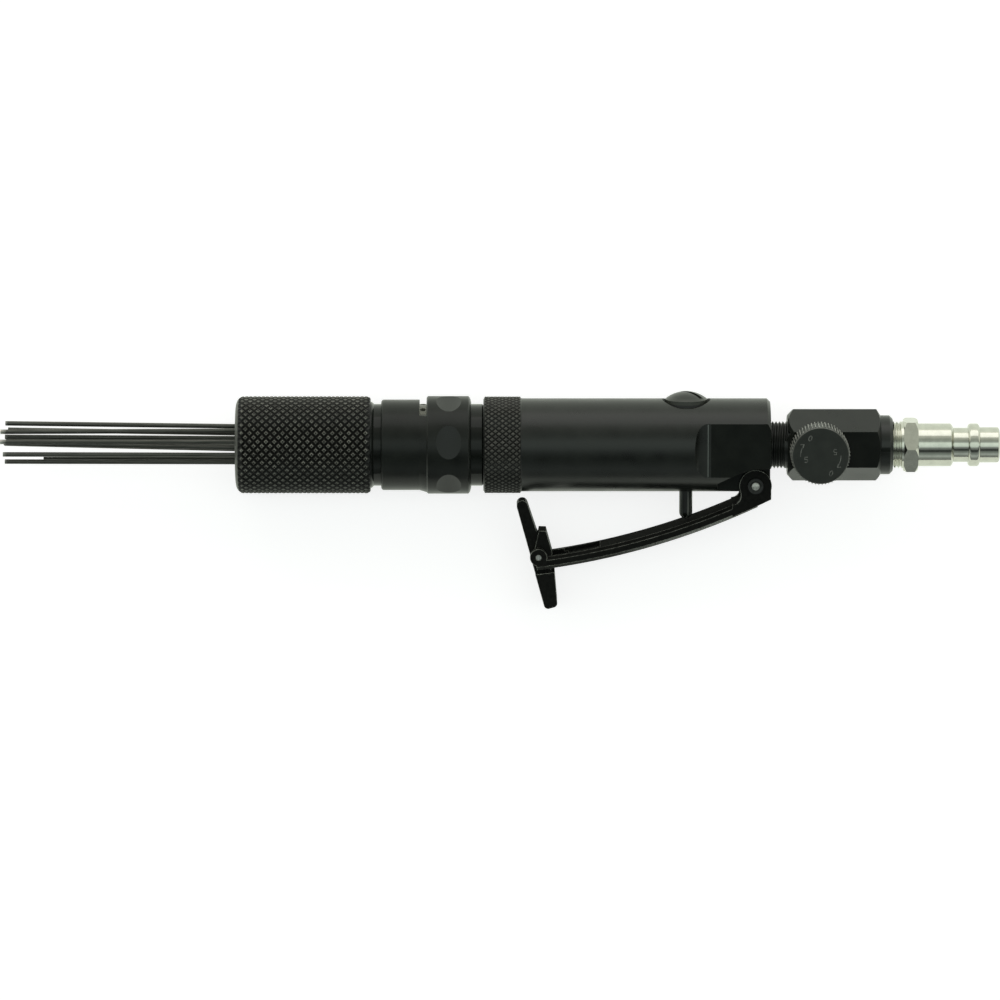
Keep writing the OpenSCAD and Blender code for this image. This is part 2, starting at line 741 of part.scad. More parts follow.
// One side's spanner flat with its curved run-out
module spanner_flat() {
    flat_z = flats_w / 2;
    translate([x_flat, -housing_r, flat_z]) cube([flats_len + over, housing_d, housing_r]);
    translate([x_flat, 0, flat_z + flats_cutter_r - flats_cutter_sink])
        bar_y(-housing_r, housing_r, flats_cutter_r);
}

module housing() {
    x_inlet_floor = x_rear - inlet_grip_len - fit;
    color(black_oxide) place() difference() {
        turned() polygon([
            [0, 0], [band_r - bevel, 0], [band_r, bevel], [band_r, band_len - bevel],
            [housing_r, band_len], [housing_r, x_rear - wide_bevel],
            [housing_r - wide_bevel, x_rear], [0, x_rear]
        ]);
        bar_x(-over, x_case_rear + fit, spigot_r + fit);
        bar_x(x_inlet_floor, x_rear + over, inlet_thread_d / 2 + fit);
        translate([0, passage_rise, 0]) bar_x(throttle_x, x_inlet_floor + over, passage_d / 2);
        translate([0, -outlet_drop, 0]) bar_x(x_case_rear, throttle_x, outlet_d / 2);
        translate([throttle_x, 0, 0]) {
            bar_y(cap_floor, cap_rise + over, cap_pocket_d / 2);
            bar_y(-seat_drop, cap_floor + over, chamber_r);
            bar_y(-housing_r - over, 0, lower_bore_r);
        }
        for (side = [0, 1]) mirror([0, 0, side]) {
            spanner_flat();
            ear_pocket();
        }
        translate(pivot) bar_z(-tongue_w, tongue_w, pivot_r + fit);
    }
}

module cap_screw() {
    head_low = cap_floor + cap_seal_t;
    head_r = cap_head_d / 2;
    dome = cap_rise - head_low - cap_rim;
    thread_low = head_low - cap_thread_len;
    thread_r = cap_thread_d / 2;
    color(black_oxide) place() translate([throttle_x, 0, 0]) difference() {
        turned_y() polygon(concat(
            [[0, thread_low], [thread_r, thread_low], [thread_r, head_low], [head_r, head_low]],
            dome_points(head_r, cap_rise, dome)
        ));
        rotate([0, cap_slot_turn, 0]) translate([-cap_head_d, cap_rise - cap_slot_depth, -cap_slot_w / 2])
            cube([2 * cap_head_d, cap_slot_depth + over, cap_slot_w]);
    }
}

module cap_seal() {
    color(seal_black) place() translate([throttle_x, 0, 0]) difference() {
        bar_y(cap_floor, cap_floor + cap_seal_t, cap_head_d / 2);
        bar_y(cap_floor - over, cap_rise, chamber_r);
    }
}

module throttle_spring() {
    coil_r = (poppet_d - throttle_wire_d) / 2 - fit;
    spring_low = poppet_t - seat_drop + fit;
    spring_top = cap_floor + cap_seal_t - cap_thread_len - fit;
    color(spring_steel) place() translate([throttle_x, spring_low, 0]) rotate([-90, 0, 0])
        coil(coil_r, throttle_wire_d, throttle_turns, spring_top - spring_low);
}

module throttle_valve() {
    head_low = fit - seat_drop;
    head_top = poppet_t - seat_drop;
    color(bronze) place() translate([throttle_x, 0, 0]) turned_y() polygon([
        [0, pin_top + fit], [poppet_nose_d / 2, pin_top + fit], [poppet_nose_d / 2, head_low],
        [poppet_d / 2, head_low], [poppet_d / 2, head_top], [poppet_spigot_d / 2, head_top],
        [poppet_spigot_d / 2, head_top + poppet_spigot_len], [0, head_top + poppet_spigot_len]
    ]);
}

module throttle_pin() {
    color(black_oxide) place() translate([throttle_x, 0, 0]) turned_y() polygon(concat(
        arc_points([0, pin_low], pin_r, -90, 0),
        [[pin_r, pin_top - bevel], [pin_r - bevel, pin_top], [0, pin_top]]
    ));
}

module pin_bush() {
    bush_low = bush_sink - housing_r;
    color(bronze) place() translate([throttle_x, 0, 0]) difference() {
        bar_y(bush_low, bush_low + bush_len, lower_bore_r - fit);
        bar_y(bush_low - over, 0, pin_r + run_gap);
    }
}

// Side view of a lever ear: round about the pivot, cut off below by the lever's curved face
module ear_outline() {
    heel = ear_r * ear_heel_share;
    front = ear_r * ear_front_share;
    toe = front + ear_fillet_r;
    translate(pivot) circle(r = ear_r, $fn = round_facets);
    intersection() {
        translate(pivot) polygon(concat(
            [[heel, 0], [heel, -lever_drop - ear_r], [-toe, -lever_drop - ear_r]],
            arc_points([-toe, -lever_drop / 2], ear_fillet_r, -90, 0),
            [[-front, 0]]
        ));
        translate(lever_centre) circle(r = lever_arc_r - bevel, $fn = arc_facets);
    }
}

// A stretch of the lever's curve between two arc angles, with its section as the child
module lever_sweep(from, to) {
    translate(lever_centre) rotate([0, 0, from - 90])
        rotate_extrude(angle = to - from, $fn = arc_facets) children();
}

module throttle_lever() {
    half_w = lever_w / 2;
    tip_angle = latch_angle - arc_angle(bar_tip_len);
    groove_from = latch_angle + arc_angle(fork_len - over);
    groove_to = latch_angle + arc_angle(blade_len + groove_reach);
    color(cast_black) place() difference() {
        union() {
            lever_sweep(tip_angle, lever_pitch - arc_angle(bar_rear_back)) polygon([
                [lever_top_r, wide_bevel - half_w], [lever_top_r + wide_bevel, -half_w],
                [lever_arc_r - wide_bevel, -half_w], [lever_arc_r, wide_bevel - half_w],
                [lever_arc_r, half_w - wide_bevel], [lever_arc_r - wide_bevel, half_w],
                [lever_top_r + wide_bevel, half_w], [lever_top_r, half_w - wide_bevel]
            ]);
            for (side = [0, 1]) mirror([0, 0, side])
                translate([0, 0, ear_in]) linear_extrude(ear_t) ear_outline();
            translate(latch_pivot) bar_z(-half_w, half_w, eye_r);
        }
        translate(latch_pivot) rotate([0, 0, latch_angle])
            translate([-eye_r - over, -latch_rise - over, -fork_w / 2])
                cube([eye_r + over + fork_len, latch_rise + eye_r + 2 * over, fork_w]);
        lever_sweep(groove_from, groove_to)
            translate([lever_top_r - over, -groove_w / 2]) square([over + lever_groove_depth, groove_w]);
        translate(pivot) bar_z(-lever_w, lever_w, pivot_r + run_gap);
        translate(latch_pivot) bar_z(-lever_w, lever_w, latch_pin_r + fit);
    }
}

// The lever's pin, its two heads staked: a domed middle in a sunk ring
module lever_pin() {
    head_r = pin_head_d / 2;
    head_low = lever_w / 2 + run_gap;
    head_top = head_low + pin_head_t;
    end = concat(
        [
            [pivot_r, head_low], [head_r, head_low], [head_r, head_top], [stake_ring_r, head_top],
            [stake_r, head_top - stake_depth]
        ],
        dome_points(stake_r, head_top + stake_rise, stake_rise)
    );
    color(bright_steel) place() translate(pivot) rotate_extrude($fn = round_facets)
        polygon(concat(end, [for (i = [len(end) - 1:-1:0]) [end[i][0], -end[i][1]]]));
}

// The latch's blade about its pin, upright
module blade_outline() {
    tip_r = blade_t / 2;
    polygon(concat(
        [[-latch_front, -cheek_foot]],
        arc_points([blade_back - tip_r, blade_len - tip_r], tip_r, 180, 0),
        [[blade_root_back, cheek_rise], [neck_back, -cheek_drop]]
    ));
}

// The latch's full width about its pin: the cheeks beside the blade's root and the neck below
module cheek_outline() {
    polygon([
        [-latch_front, -thumb_len / 2], [-latch_front, -cheek_foot], [cheek_front, cheek_rise],
        [cheek_back, cheek_rise - cheek_slope], [cheek_back, -cheek_drop],
        [neck_back, -neck_drop], [neck_back, -thumb_len / 2]
    ]);
}

// The thumb piece below the lever, its top edge parallel to the lever's lower face
module thumb_outline() {
    top_slope = tan(latch_lean - latch_angle);
    top_drop = (latch_rise + thumb_gap) / cos(latch_lean - latch_angle);
    polygon(concat(
        [
            [thumb_back, -top_drop - thumb_back * top_slope],
            [-latch_front, -top_drop + latch_front * top_slope]
        ],
        arc_points(thumb_tip_centre, thumb_tip_r, 180, 270),
        arc_points(thumb_tip_centre + [thumb_tip_w - 2 * thumb_tip_r, 0], thumb_tip_r, 270, 360)
    ));
}

module safety_latch() {
    color(cast_black) place() translate(latch_pivot) rotate([0, 0, latch_lean]) difference() {
        union() {
            translate([0, 0, -blade_w / 2]) linear_extrude(blade_w) blade_outline();
            translate([0, 0, -latch_w / 2]) linear_extrude(latch_w) cheek_outline();
            translate([0, 0, -thumb_w / 2]) linear_extrude(thumb_w) thumb_outline();
        }
        bar_z(-latch_w, latch_w, latch_pin_r + run_gap);
        bar_z(-latch_pocket_w / 2, latch_pocket_w / 2, latch_pocket_r);
    }
}

module latch_pin() {
    color(bright_steel) place() translate(latch_pivot) bar_z(-lever_w / 2, lever_w / 2, latch_pin_r);
}

module latch_spring() {
    color(spring_steel) place() translate(latch_pivot) translate([0, 0, -latch_spring_w / 2])
        coil(latch_spring_r, latch_spring_wire_d, latch_spring_turns, latch_spring_w);
}

module inlet_body() {
    thread_r = inlet_thread_d / 2;
    spigot_half = inlet_spigot_d / 2;
    color(black_oxide) place() difference() {
        union() {
            turned() polygon([
                [0, x_rear - inlet_grip_len], [thread_r - bevel, x_rear - inlet_grip_len],
                [thread_r, x_rear - inlet_grip_len + bevel], [thread_r, x_hex + over], [0, x_hex + over]
            ]);
            hex_bar(x_hex, x_hex_rear, inlet_hex_w, hex_drop, hex_front_len, hex_rear_len);
            turned() polygon([
                [0, x_hex_rear - over], [spigot_half, x_hex_rear - over],
                [spigot_half, x_inlet_rear - wide_bevel],
                [spigot_half - wide_bevel, x_inlet_rear], [0, x_inlet_rear]
            ]);
        }
        bar_x(x_rear - inlet_grip_len - over, x_inlet_rear + over, inlet_bore_d / 2);
        bar_x(x_inlet_rear - nipple_grip_len - fit, x_inlet_rear + over, nipple_thread_d / 2 + fit);
        translate([x_knob, 0, 0]) bar_z(-stem_low - fit, knob_low + over, stem_r + run_gap);
        translate([0, keeper_y, keeper_z]) bar_x(x_hex - over, x_knob + keeper_len / 2, keeper_d / 2 + fit);
    }
}

module regulator_stem() {
    seal_half = stem_seal_d / 2 + fit;
    seal_floor = stem_r - stem_seal_d - fit;
    keeper_half = keeper_d / 2 + run_gap;
    keeper_floor = stem_r - keeper_bite - run_gap;
    stem_top = inlet_hex_w / 2;
    key_r = knob_key_d / 2;
    key_top = knob_low + knob_key_len;
    color(bright_steel) place() translate([x_knob, 0, 0]) difference() {
        rotate_extrude($fn = round_facets) polygon([
            [0, -stem_low], [stem_r, -stem_low],
            [stem_r, -stem_seal_z - seal_half], [seal_floor, -stem_seal_z - seal_half],
            [seal_floor, -stem_seal_z + seal_half], [stem_r, -stem_seal_z + seal_half],
            [stem_r, stem_seal_z - seal_half], [seal_floor, stem_seal_z - seal_half],
            [seal_floor, stem_seal_z + seal_half], [stem_r, stem_seal_z + seal_half],
            [stem_r, keeper_z - keeper_half], [keeper_floor, keeper_z - keeper_half],
            [keeper_floor, keeper_z + keeper_half], [stem_r, keeper_z + keeper_half],
            [stem_r, stem_top], [key_r, stem_top], [key_r, key_top], [0, key_top]
        ]);
        bar_x(-stem_d, stem_d, port_d / 2);
    }
}

// Top view of the knob's teeth, each as wide at its root as the spacing
module knob_teeth() {
    count = round(PI * knob_d / knob_tooth_w);
    root_r = knob_d / 2 - knob_tooth_h;
    crest_r = knob_d / 2 + fit;
    spots = [[-1, root_r], [-crest_share, crest_r], [crest_share, crest_r]];
    polygon([for (i = [0:count - 1]) for (spot = spots)
        let (a = 360 * (i + spot[0] / 2) / count) spot[1] * [cos(a), sin(a)]]);
}

module regulator_knob() {
    knob_r = knob_d / 2;
    key_r = knob_key_d / 2 + fit;
    key_top = knob_low + knob_key_len + fit;
    color(black_oxide) place() translate([x_knob, 0, 0]) intersection() {
        rotate_extrude($fn = round_facets) polygon([
            [key_r, knob_low], [knob_r - knob_lip, knob_low], [knob_r, knob_low + knob_lip],
            [knob_r, knob_top - bevel], [knob_r - bevel, knob_top],
            [0, knob_top], [0, key_top], [key_r, key_top]
        ]);
        translate([0, 0, knob_low - over]) linear_extrude(knob_t + 2 * over) knob_teeth();
    }
}

module regulator_seals() {
    color(seal_black) place() translate([x_knob, 0, 0])
        for (z = [-stem_seal_z, stem_seal_z]) translate([0, 0, z])
            rotate_extrude($fn = round_facets)
                translate([stem_r - stem_seal_d / 2, 0]) circle(d = stem_seal_d, $fn = round_facets);
}

module regulator_pin() {
    color(bright_steel) place() translate([x_knob - keeper_len / 2, keeper_y, keeper_z])
        bar_x(0, keeper_len, keeper_d / 2);
}

module hose_nipple() {
    thread_r = nipple_thread_d / 2;
    plug_r = plug_d / 2;
    groove_r = groove_d / 2;
    tip_r = tip_d / 2;
    color(plated) place() difference() {
        union() {
            turned() polygon([
                [0, x_inlet_rear - nipple_grip_len], [thread_r - bevel, x_inlet_rear - nipple_grip_len],
                [thread_r, x_inlet_rear - nipple_grip_len + bevel], [thread_r, x_nipple_hex + over],
                [0, x_nipple_hex + over]
            ]);
            hex_bar(x_nipple_hex, x_plug, nipple_hex_w, nipple_drop, nipple_drop, nipple_drop);
            turned() polygon(concat(
                [
                    [0, x_plug - over], [plug_r, x_plug - over], [plug_r, x_groove - bevel],
                    [plug_r - bevel, x_groove], [groove_r, x_groove + bevel], [groove_r, x_bead]
                ],
                arc_points([plug_r - bead_edge_r, x_bead + bead_edge_r], bead_edge_r, -90, 0),
                arc_points([plug_r - bead_edge_r, x_tip - bead_edge_r], bead_edge_r, 0, 90),
                [[tip_r, x_tip], [tip_r, x_end - bevel], [tip_r - bevel, x_end], [0, x_end]]
            ));
        }
        bar_x(x_inlet_rear - nipple_grip_len - over, x_end + over, nipple_bore_d / 2);
    }
}

nose_sleeve();
needle_guide();
needles();
needle_holder();
return_spring();
anvil();
barrel();
front_collar();
piston();
barrel_seal();
valve_seat();
valve_disc();
valve_case();
housing();
cap_screw();
cap_seal();
throttle_spring();
throttle_valve();
throttle_pin();
pin_bush();
throttle_lever();
lever_pin();
safety_latch();
latch_pin();
latch_spring();
inlet_body();
regulator_stem();
regulator_knob();
regulator_seals();
regulator_pin();
hose_nipple();
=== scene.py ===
import json
import math

import bmesh
import bpy
from mathutils import Matrix, Vector

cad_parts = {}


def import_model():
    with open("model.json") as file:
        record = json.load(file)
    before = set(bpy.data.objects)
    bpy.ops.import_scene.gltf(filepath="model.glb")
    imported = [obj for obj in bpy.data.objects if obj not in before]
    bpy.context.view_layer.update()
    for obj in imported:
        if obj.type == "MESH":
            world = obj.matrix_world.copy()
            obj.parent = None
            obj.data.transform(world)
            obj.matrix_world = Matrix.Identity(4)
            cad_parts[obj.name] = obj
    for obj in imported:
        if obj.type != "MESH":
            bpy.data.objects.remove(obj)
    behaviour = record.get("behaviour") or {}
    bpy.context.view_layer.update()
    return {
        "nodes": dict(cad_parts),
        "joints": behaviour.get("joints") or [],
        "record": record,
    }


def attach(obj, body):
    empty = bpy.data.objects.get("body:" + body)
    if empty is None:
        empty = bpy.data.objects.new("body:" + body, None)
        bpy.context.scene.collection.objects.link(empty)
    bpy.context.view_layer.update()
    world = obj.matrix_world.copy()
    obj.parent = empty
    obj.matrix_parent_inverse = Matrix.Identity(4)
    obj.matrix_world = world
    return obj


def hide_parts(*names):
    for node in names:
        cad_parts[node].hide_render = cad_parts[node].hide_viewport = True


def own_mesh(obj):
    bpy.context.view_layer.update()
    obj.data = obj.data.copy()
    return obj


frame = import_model()

MM = 0.001
TAU = 2 * math.pi
WELD = 1e-7  # metres

# The tool's own frame: X along the tool from the housing's front face, Y away from the lever,
# Z through the knob.
KNOB_X = 93.4
joints = {j["name"]: j for j in frame["joints"]}
knob_axis = Vector(joints["regulator_turn"]["axis"])
knob_place = Vector(joints["regulator_turn"]["pos_m"])
ROLL = math.atan2(-knob_axis.y, knob_axis.z)
ORIGIN = knob_place - Vector((KNOB_X * MM, 0, 0))
TOOL = Matrix.Translation(ORIGIN) @ Matrix.Rotation(ROLL, 4, "X") @ Matrix.Scale(MM, 4)
UNTOOL = TOOL.inverted()
ALONG_X, ALONG_Y = (1, 0, 0), (0, 1, 0)

# Stations along the tool and sizes, in millimetres. The flat top of a knurl's diamond is a share of it.
TIPS_X = -134.7
SLEEVE_FRONT, SLEEVE_REAR, SLEEVE_R, SLEEVE_EDGE, SLEEVE_DROP = -69.1, -31.5, 13.55, 2.2, 3.0
MOUTH_R, MOUTH_CHAMFER, GUIDE_FRONT, SLEEVE_BORE = 6.4, 0.4, -66.6, 9.7
BARREL_FRONT, SPIGOT_BORE = -41.4, 10.05
COARSE_DEPTH, COARSE_COUNT, COARSE_ROWS, COARSE_TOP = 0.55, 35, 16, 0.27
COLLAR_FRONT, COLLAR_R, COLLAR_BORE, COLLAR_EDGE = -28.5, 12.65, 11.5, 0.75
RAMP, RING_REAR, RING_R, RING_CHAMFER = (-17.8, -15.8), -3.4, 13.65, 0.4
SLOT_FLOOR = 9.55
SPOT_X, SPOT_R, SPOT_DEPTH, SPOT_FIRST, SPOTS = -9.6, 7.8, 0.82, 18.0, 6
BAND_LEN, BAND_R, BAND_MARGIN = 10.7, 13.2, 0.45
FINE_RISE, FINE_DEPTH, FINE_COUNT, FINE_ROWS, FINE_TOP = 0.28, 0.27, 53, 5, 0.34
FLATS_FRONT = 62.6
LEVER_PIN, STAKE_R = (75.9, -10.65), 1.1
THREAD_PITCH = 0.95
INLET_THREAD, INLET_R, INLET_DEPTH, INLET_HEX = (77.5, 84.35), 6.55, 0.55, 84.8
NIPPLE_THREAD, NIPPLE_R, NIPPLE_DEPTH, NIPPLE_TURN = (111.2, 116.8), 6.55, 0.5, -28.8
KNOB_LOW, KNOB_TOP, KNOB_R, KNOB_TEETH, KNOB_TOOTH = 9.1, 19.0, 8.2, 54, 0.42
SPRING_FIT, SPRING_TURNS = 0.05, 4
GUIDE_REAR, HOLDER_FRONT, RETURN_R, RETURN_WIRE = -63.6, -52.15, 8.5, 1.2
THROTTLE_X, POPPET_TOP, CAP_FOOT, CLOSER_R, CLOSER_WIRE = 56.6, 1.0, 6.2, 3.55, 0.6


# Meshes
def shade(bm, smooth_deg):
    """Smooths all faces and keeps edges sharper than smooth_deg sharp."""
    limit = math.radians(smooth_deg)
    for f in bm.faces:
        f.smooth = True
    for e in bm.edges:
        e.smooth = not (len(e.link_faces) == 2 and e.calc_face_angle(0.0) > limit)


def new_object(name, bm, smooth_deg=30.0):
    """A mesh object from a bmesh in tool millimetres."""
    bmesh.ops.recalc_face_normals(bm, faces=bm.faces)
    bm.transform(TOOL)
    shade(bm, smooth_deg)
    mesh = bpy.data.meshes.new(name)
    bm.to_mesh(mesh)
    bm.free()
    obj = bpy.data.objects.new(name, mesh)
    bpy.context.scene.collection.objects.link(obj)
    return obj


def around(x, r, a):
    """A point at station x, radius r and angle a about the tool's axis."""
    return (x, r * math.cos(a), r * math.sin(a))


def ring(bm, x, r, angles):
    """A closed row of vertices about the tool's axis."""
    return [bm.verts.new(around(x, r, a)) for a in angles]


def bridge(bm, low, high):
    """Faces between two closed rows of as many vertices."""
    n = len(low)
    for i in range(n):
        j = (i + 1) % n
        bm.faces.new((low[i], low[j], high[j], high[i]))


def skin(bm, rows):
    """Faces between each row and the next."""
    for low, high in zip(rows, rows[1:]):
        bridge(bm, low, high)


def knurl(bm, x0, x1, r_top, depth, count, rows, top):
    """Diamond knurl from x0 to x1: flat-topped pyramids in staggered rows.
    Returns the two border rings and their angles."""
    pitch = (x1 - x0) / rows
    fine = 1000
    verts = {}

    def vert(u, v, h):
        """The vertex at column u, row v and height h, shared by all its faces."""
        key = (round(u * fine) % (count * fine), round(v * fine), h)
        if key not in verts:
            a = TAU * u / count
            verts[key] = bm.verts.new(around(x0 + v * pitch, r_top - depth * (1 - h), a))
        return verts[key]

    half = top / 2
    for row in range(rows + 1):
        for i in range(count):
            ends = ([1] if row < rows else []) + ([-1] if row > 0 else [])
            for s in ends:
                left, right = vert(i - 0.5, row, 0), vert(i + 0.5, row, 0)
                tl, tr = vert(i - half, row, 1), vert(i + half, row, 1)
                peak, base = vert(i, row + s * half, 1), vert(i, row + s * 0.5, 0)
                bm.faces.new((left, tl, peak, base))
                bm.faces.new((tr, right, base, peak))
                bm.faces.new((tl, tr, peak))
    for row in range(rows):
        for i in range(count):
            u, v = i + 0.5, row + 0.5
            corners = [(u - 0.5, v), (u, v - 0.5), (u + 0.5, v), (u, v + 0.5)]
            tops = [(u - half, v), (u, v - half), (u + half, v), (u, v + half)]
            low = [vert(p[0], p[1], 0) for p in corners]
            high = [vert(p[0], p[1], 1) for p in tops]
            bridge(bm, low, high)
            bm.faces.new(high)
    steps = [(i + d, h) for i in range(count) for d, h in ((-0.5, 0), (-half, 1), (half, 1))]
    borders = [[vert(u, v, h) for u, h in steps] for v in (0, rows)]
    return borders, [TAU * u / count for u, h in steps]


def helix_cutter(x0, x1, r, depth, pitch, name):
    """A closed helical wedge that cuts a vee thread into a bar of radius r."""
    per_turn = 40
    flank, root, over, crest = pitch * 0.46, 0.07, 0.02, 0.6
    wedge = ((-flank, r + over), (-root, r - depth), (root, r - depth), (flank, r + over), (0, r + crest))
    bm = bmesh.new()
    rings = []
    for i in range(int(per_turn * ((x1 - x0) / pitch)) + 1):
        a = TAU * i / per_turn
        x = x0 + pitch * i / per_turn
        rings.append([bm.verts.new(around(x + dx, rr, a)) for dx, rr in wedge])
    skin(bm, rings)
    bm.faces.new(rings[0])
    bm.faces.new(list(reversed(rings[-1])))
    return new_object(name, bm)


def copy_of(node):
    """A welded copy of a CAD node's mesh, as a bmesh in tool millimetres."""
    bm = bmesh.new()
    bm.from_mesh(frame["nodes"][node].data)
    bmesh.ops.remove_doubles(bm, verts=bm.verts, dist=WELD)
    bm.transform(UNTOOL)
    return bm


def cut(obj, cutter):
    """Cuts one object out of another and removes the cutter."""
    mod = obj.modifiers.new("cut", "BOOLEAN")
    mod.operation, mod.solver, mod.object = "DIFFERENCE", "EXACT", cutter
    done = bpy.data.meshes.new_from_object(obj.evaluated_get(bpy.context.evaluated_depsgraph_get()))
    obj.modifiers.clear()
    old, obj.data = obj.data, done
    bpy.data.meshes.remove(old)
    bpy.data.objects.remove(cutter)


def resmooth(obj, smooth_deg=30.0):
    """Marks the sharp edges of a cut mesh again."""
    bm = bmesh.new()
    bm.from_mesh(obj.data)
    bmesh.ops.dissolve_degenerate(bm, edges=bm.edges, dist=WELD)
    shade(bm, smooth_deg)
    bm.to_mesh(obj.data)
    bm.free()


# Materials
class Shader:
    """A node material with a Principled shader and coordinates in tool millimetres."""

    def __init__(self, name, **constants):
        self.material = bpy.data.materials.new(name)
        self.material.use_nodes = True
        self.tree = self.material.node_tree
        self.tree.nodes.clear()
        out = self.tree.nodes.new("ShaderNodeOutputMaterial")
        self.bsdf = self.tree.nodes.new("ShaderNodeBsdfPrincipled")
        self.link(self.bsdf.outputs[0], out.inputs[0])
        for key, value in constants.items():
            self.socket(key).default_value = value
        coord = self.tree.nodes.new("ShaderNodeTexCoord")
        place = self.tree.nodes.new("ShaderNodeMapping")
        place.inputs["Scale"].default_value = (1 / MM,) * 3
        place.inputs["Rotation"].default_value = (-ROLL, 0, 0)
        place.inputs["Location"].default_value = UNTOOL.to_translation()
        self.link(coord.outputs["Object"], place.inputs["Vector"])
        self.mm = place.outputs[0]

    def socket(self, name):
        return self.bsdf.inputs[name.replace("_", " ").title().replace("Ior", "IOR")]

    def link(self, a, b):
        self.tree.links.new(a, b)

    def stretch(self, x, y, z):
        node = self.tree.nodes.new("ShaderNodeMapping")
        node.inputs["Scale"].default_value = (x, y, z)
        self.link(self.mm, node.inputs["Vector"])
        return node.outputs[0]

    def noise(self, scale, detail=2.0, vector=None, rough=0.5):
        node = self.tree.nodes.new("ShaderNodeTexNoise")
        node.inputs["Scale"].default_value = scale
        node.inputs["Detail"].default_value = detail
        node.inputs["Roughness"].default_value = rough
        self.link(vector or self.mm, node.inputs["Vector"])
        return node.outputs[0]

    def axis(self, name):
        node = self.tree.nodes.new("ShaderNodeSeparateXYZ")
        self.link(self.mm, node.inputs[0])
        return node.outputs["XYZ".index(name)]

    def math(self, op, a, b=None):
        node = self.tree.nodes.new("ShaderNodeMath")
        node.operation = op
        for slot, value in enumerate((a, b)):
            if value is None:
                continue
            if isinstance(value, (int, float)):
                node.inputs[slot].default_value = value
            else:
                self.link(value, node.inputs[slot])
        return node.outputs[0]

    def times(self, a, b):
        return self.math("MULTIPLY", a, b)

    def distance(self, a, b):
        """How far a point lies from an axis, by its two offsets."""
        return self.math("SQRT", self.math("ADD", self.times(a, a), self.times(b, b)))

    def remap(self, value, a, b, c=0.0, d=1.0):
        node = self.tree.nodes.new("ShaderNodeMapRange")
        for slot, number in zip((1, 2, 3, 4), (a, b, c, d)):
            node.inputs[slot].default_value = number
        self.link(value, node.inputs[0])
        return node.outputs[0]

    def ramp(self, value, stops):
        node = self.tree.nodes.new("ShaderNodeValToRGB")
        elements = node.color_ramp.elements
        while len(elements) < len(stops):
            elements.new(1.0)
        for element, (place, colour) in zip(elements, stops):
            element.position = place
            element.color = (*colour, 1.0)
        self.link(value, node.inputs[0])
        return node.outputs[0]

    def mix(self, fac, a, b):
        node = self.tree.nodes.new("ShaderNodeMix")
        node.data_type = "RGBA"
        for slot, value in ((6, a), (7, b)):
            if isinstance(value, tuple):
                node.inputs[slot].default_value = (*value, 1.0)
            else:
                self.link(value, node.inputs[slot])
        self.link(fac, node.inputs[0])
        return node.outputs[2]

    def bump(self, height, strength, distance_mm, under=None):
        node = self.tree.nodes.new("ShaderNodeBump")
        node.inputs["Strength"].default_value = strength
        node.inputs["Distance"].default_value = distance_mm * MM
        self.link(height, node.inputs["Height"])
        if under is not None:
            self.link(under, node.inputs["Normal"])
        return node.outputs[0]

    def edges(self, width_mm, sharp=0.80):
        """One on outer edges, fading to nothing within width_mm of them."""
        samples = 6
        round_off = self.tree.nodes.new("ShaderNodeBevel")
        round_off.samples = samples
        round_off.inputs["Radius"].default_value = width_mm * MM
        face = self.tree.nodes.new("ShaderNodeNewGeometry")
        dot = self.tree.nodes.new("ShaderNodeVectorMath")
        dot.operation = "DOT_PRODUCT"
        self.link(round_off.outputs[0], dot.inputs[0])
        self.link(face.outputs["Normal"], dot.inputs[1])
        hollow = self.tree.nodes.new("ShaderNodeAmbientOcclusion")
        hollow.samples = samples
        hollow.only_local = True
        hollow.inputs["Distance"].default_value = 6 * width_mm * MM
        return self.times(self.remap(dot.outputs["Value"], 0.99, sharp),
                          self.remap(hollow.outputs["AO"], 0.70, 0.92))

    def facing(self):
        """The face's direction in the tool's frame."""
        face = self.tree.nodes.new("ShaderNodeNewGeometry")
        turn = self.tree.nodes.new("ShaderNodeMapping")
        turn.inputs["Rotation"].default_value = (-ROLL, 0, 0)
        self.link(face.outputs["Normal"], turn.inputs["Vector"])
        split = self.tree.nodes.new("ShaderNodeSeparateXYZ")
        self.link(turn.outputs[0], split.inputs[0])
        return split.outputs

    def set(self, **sockets):
        for name, value in sockets.items():
            self.link(value, self.socket(name))
        return self.material


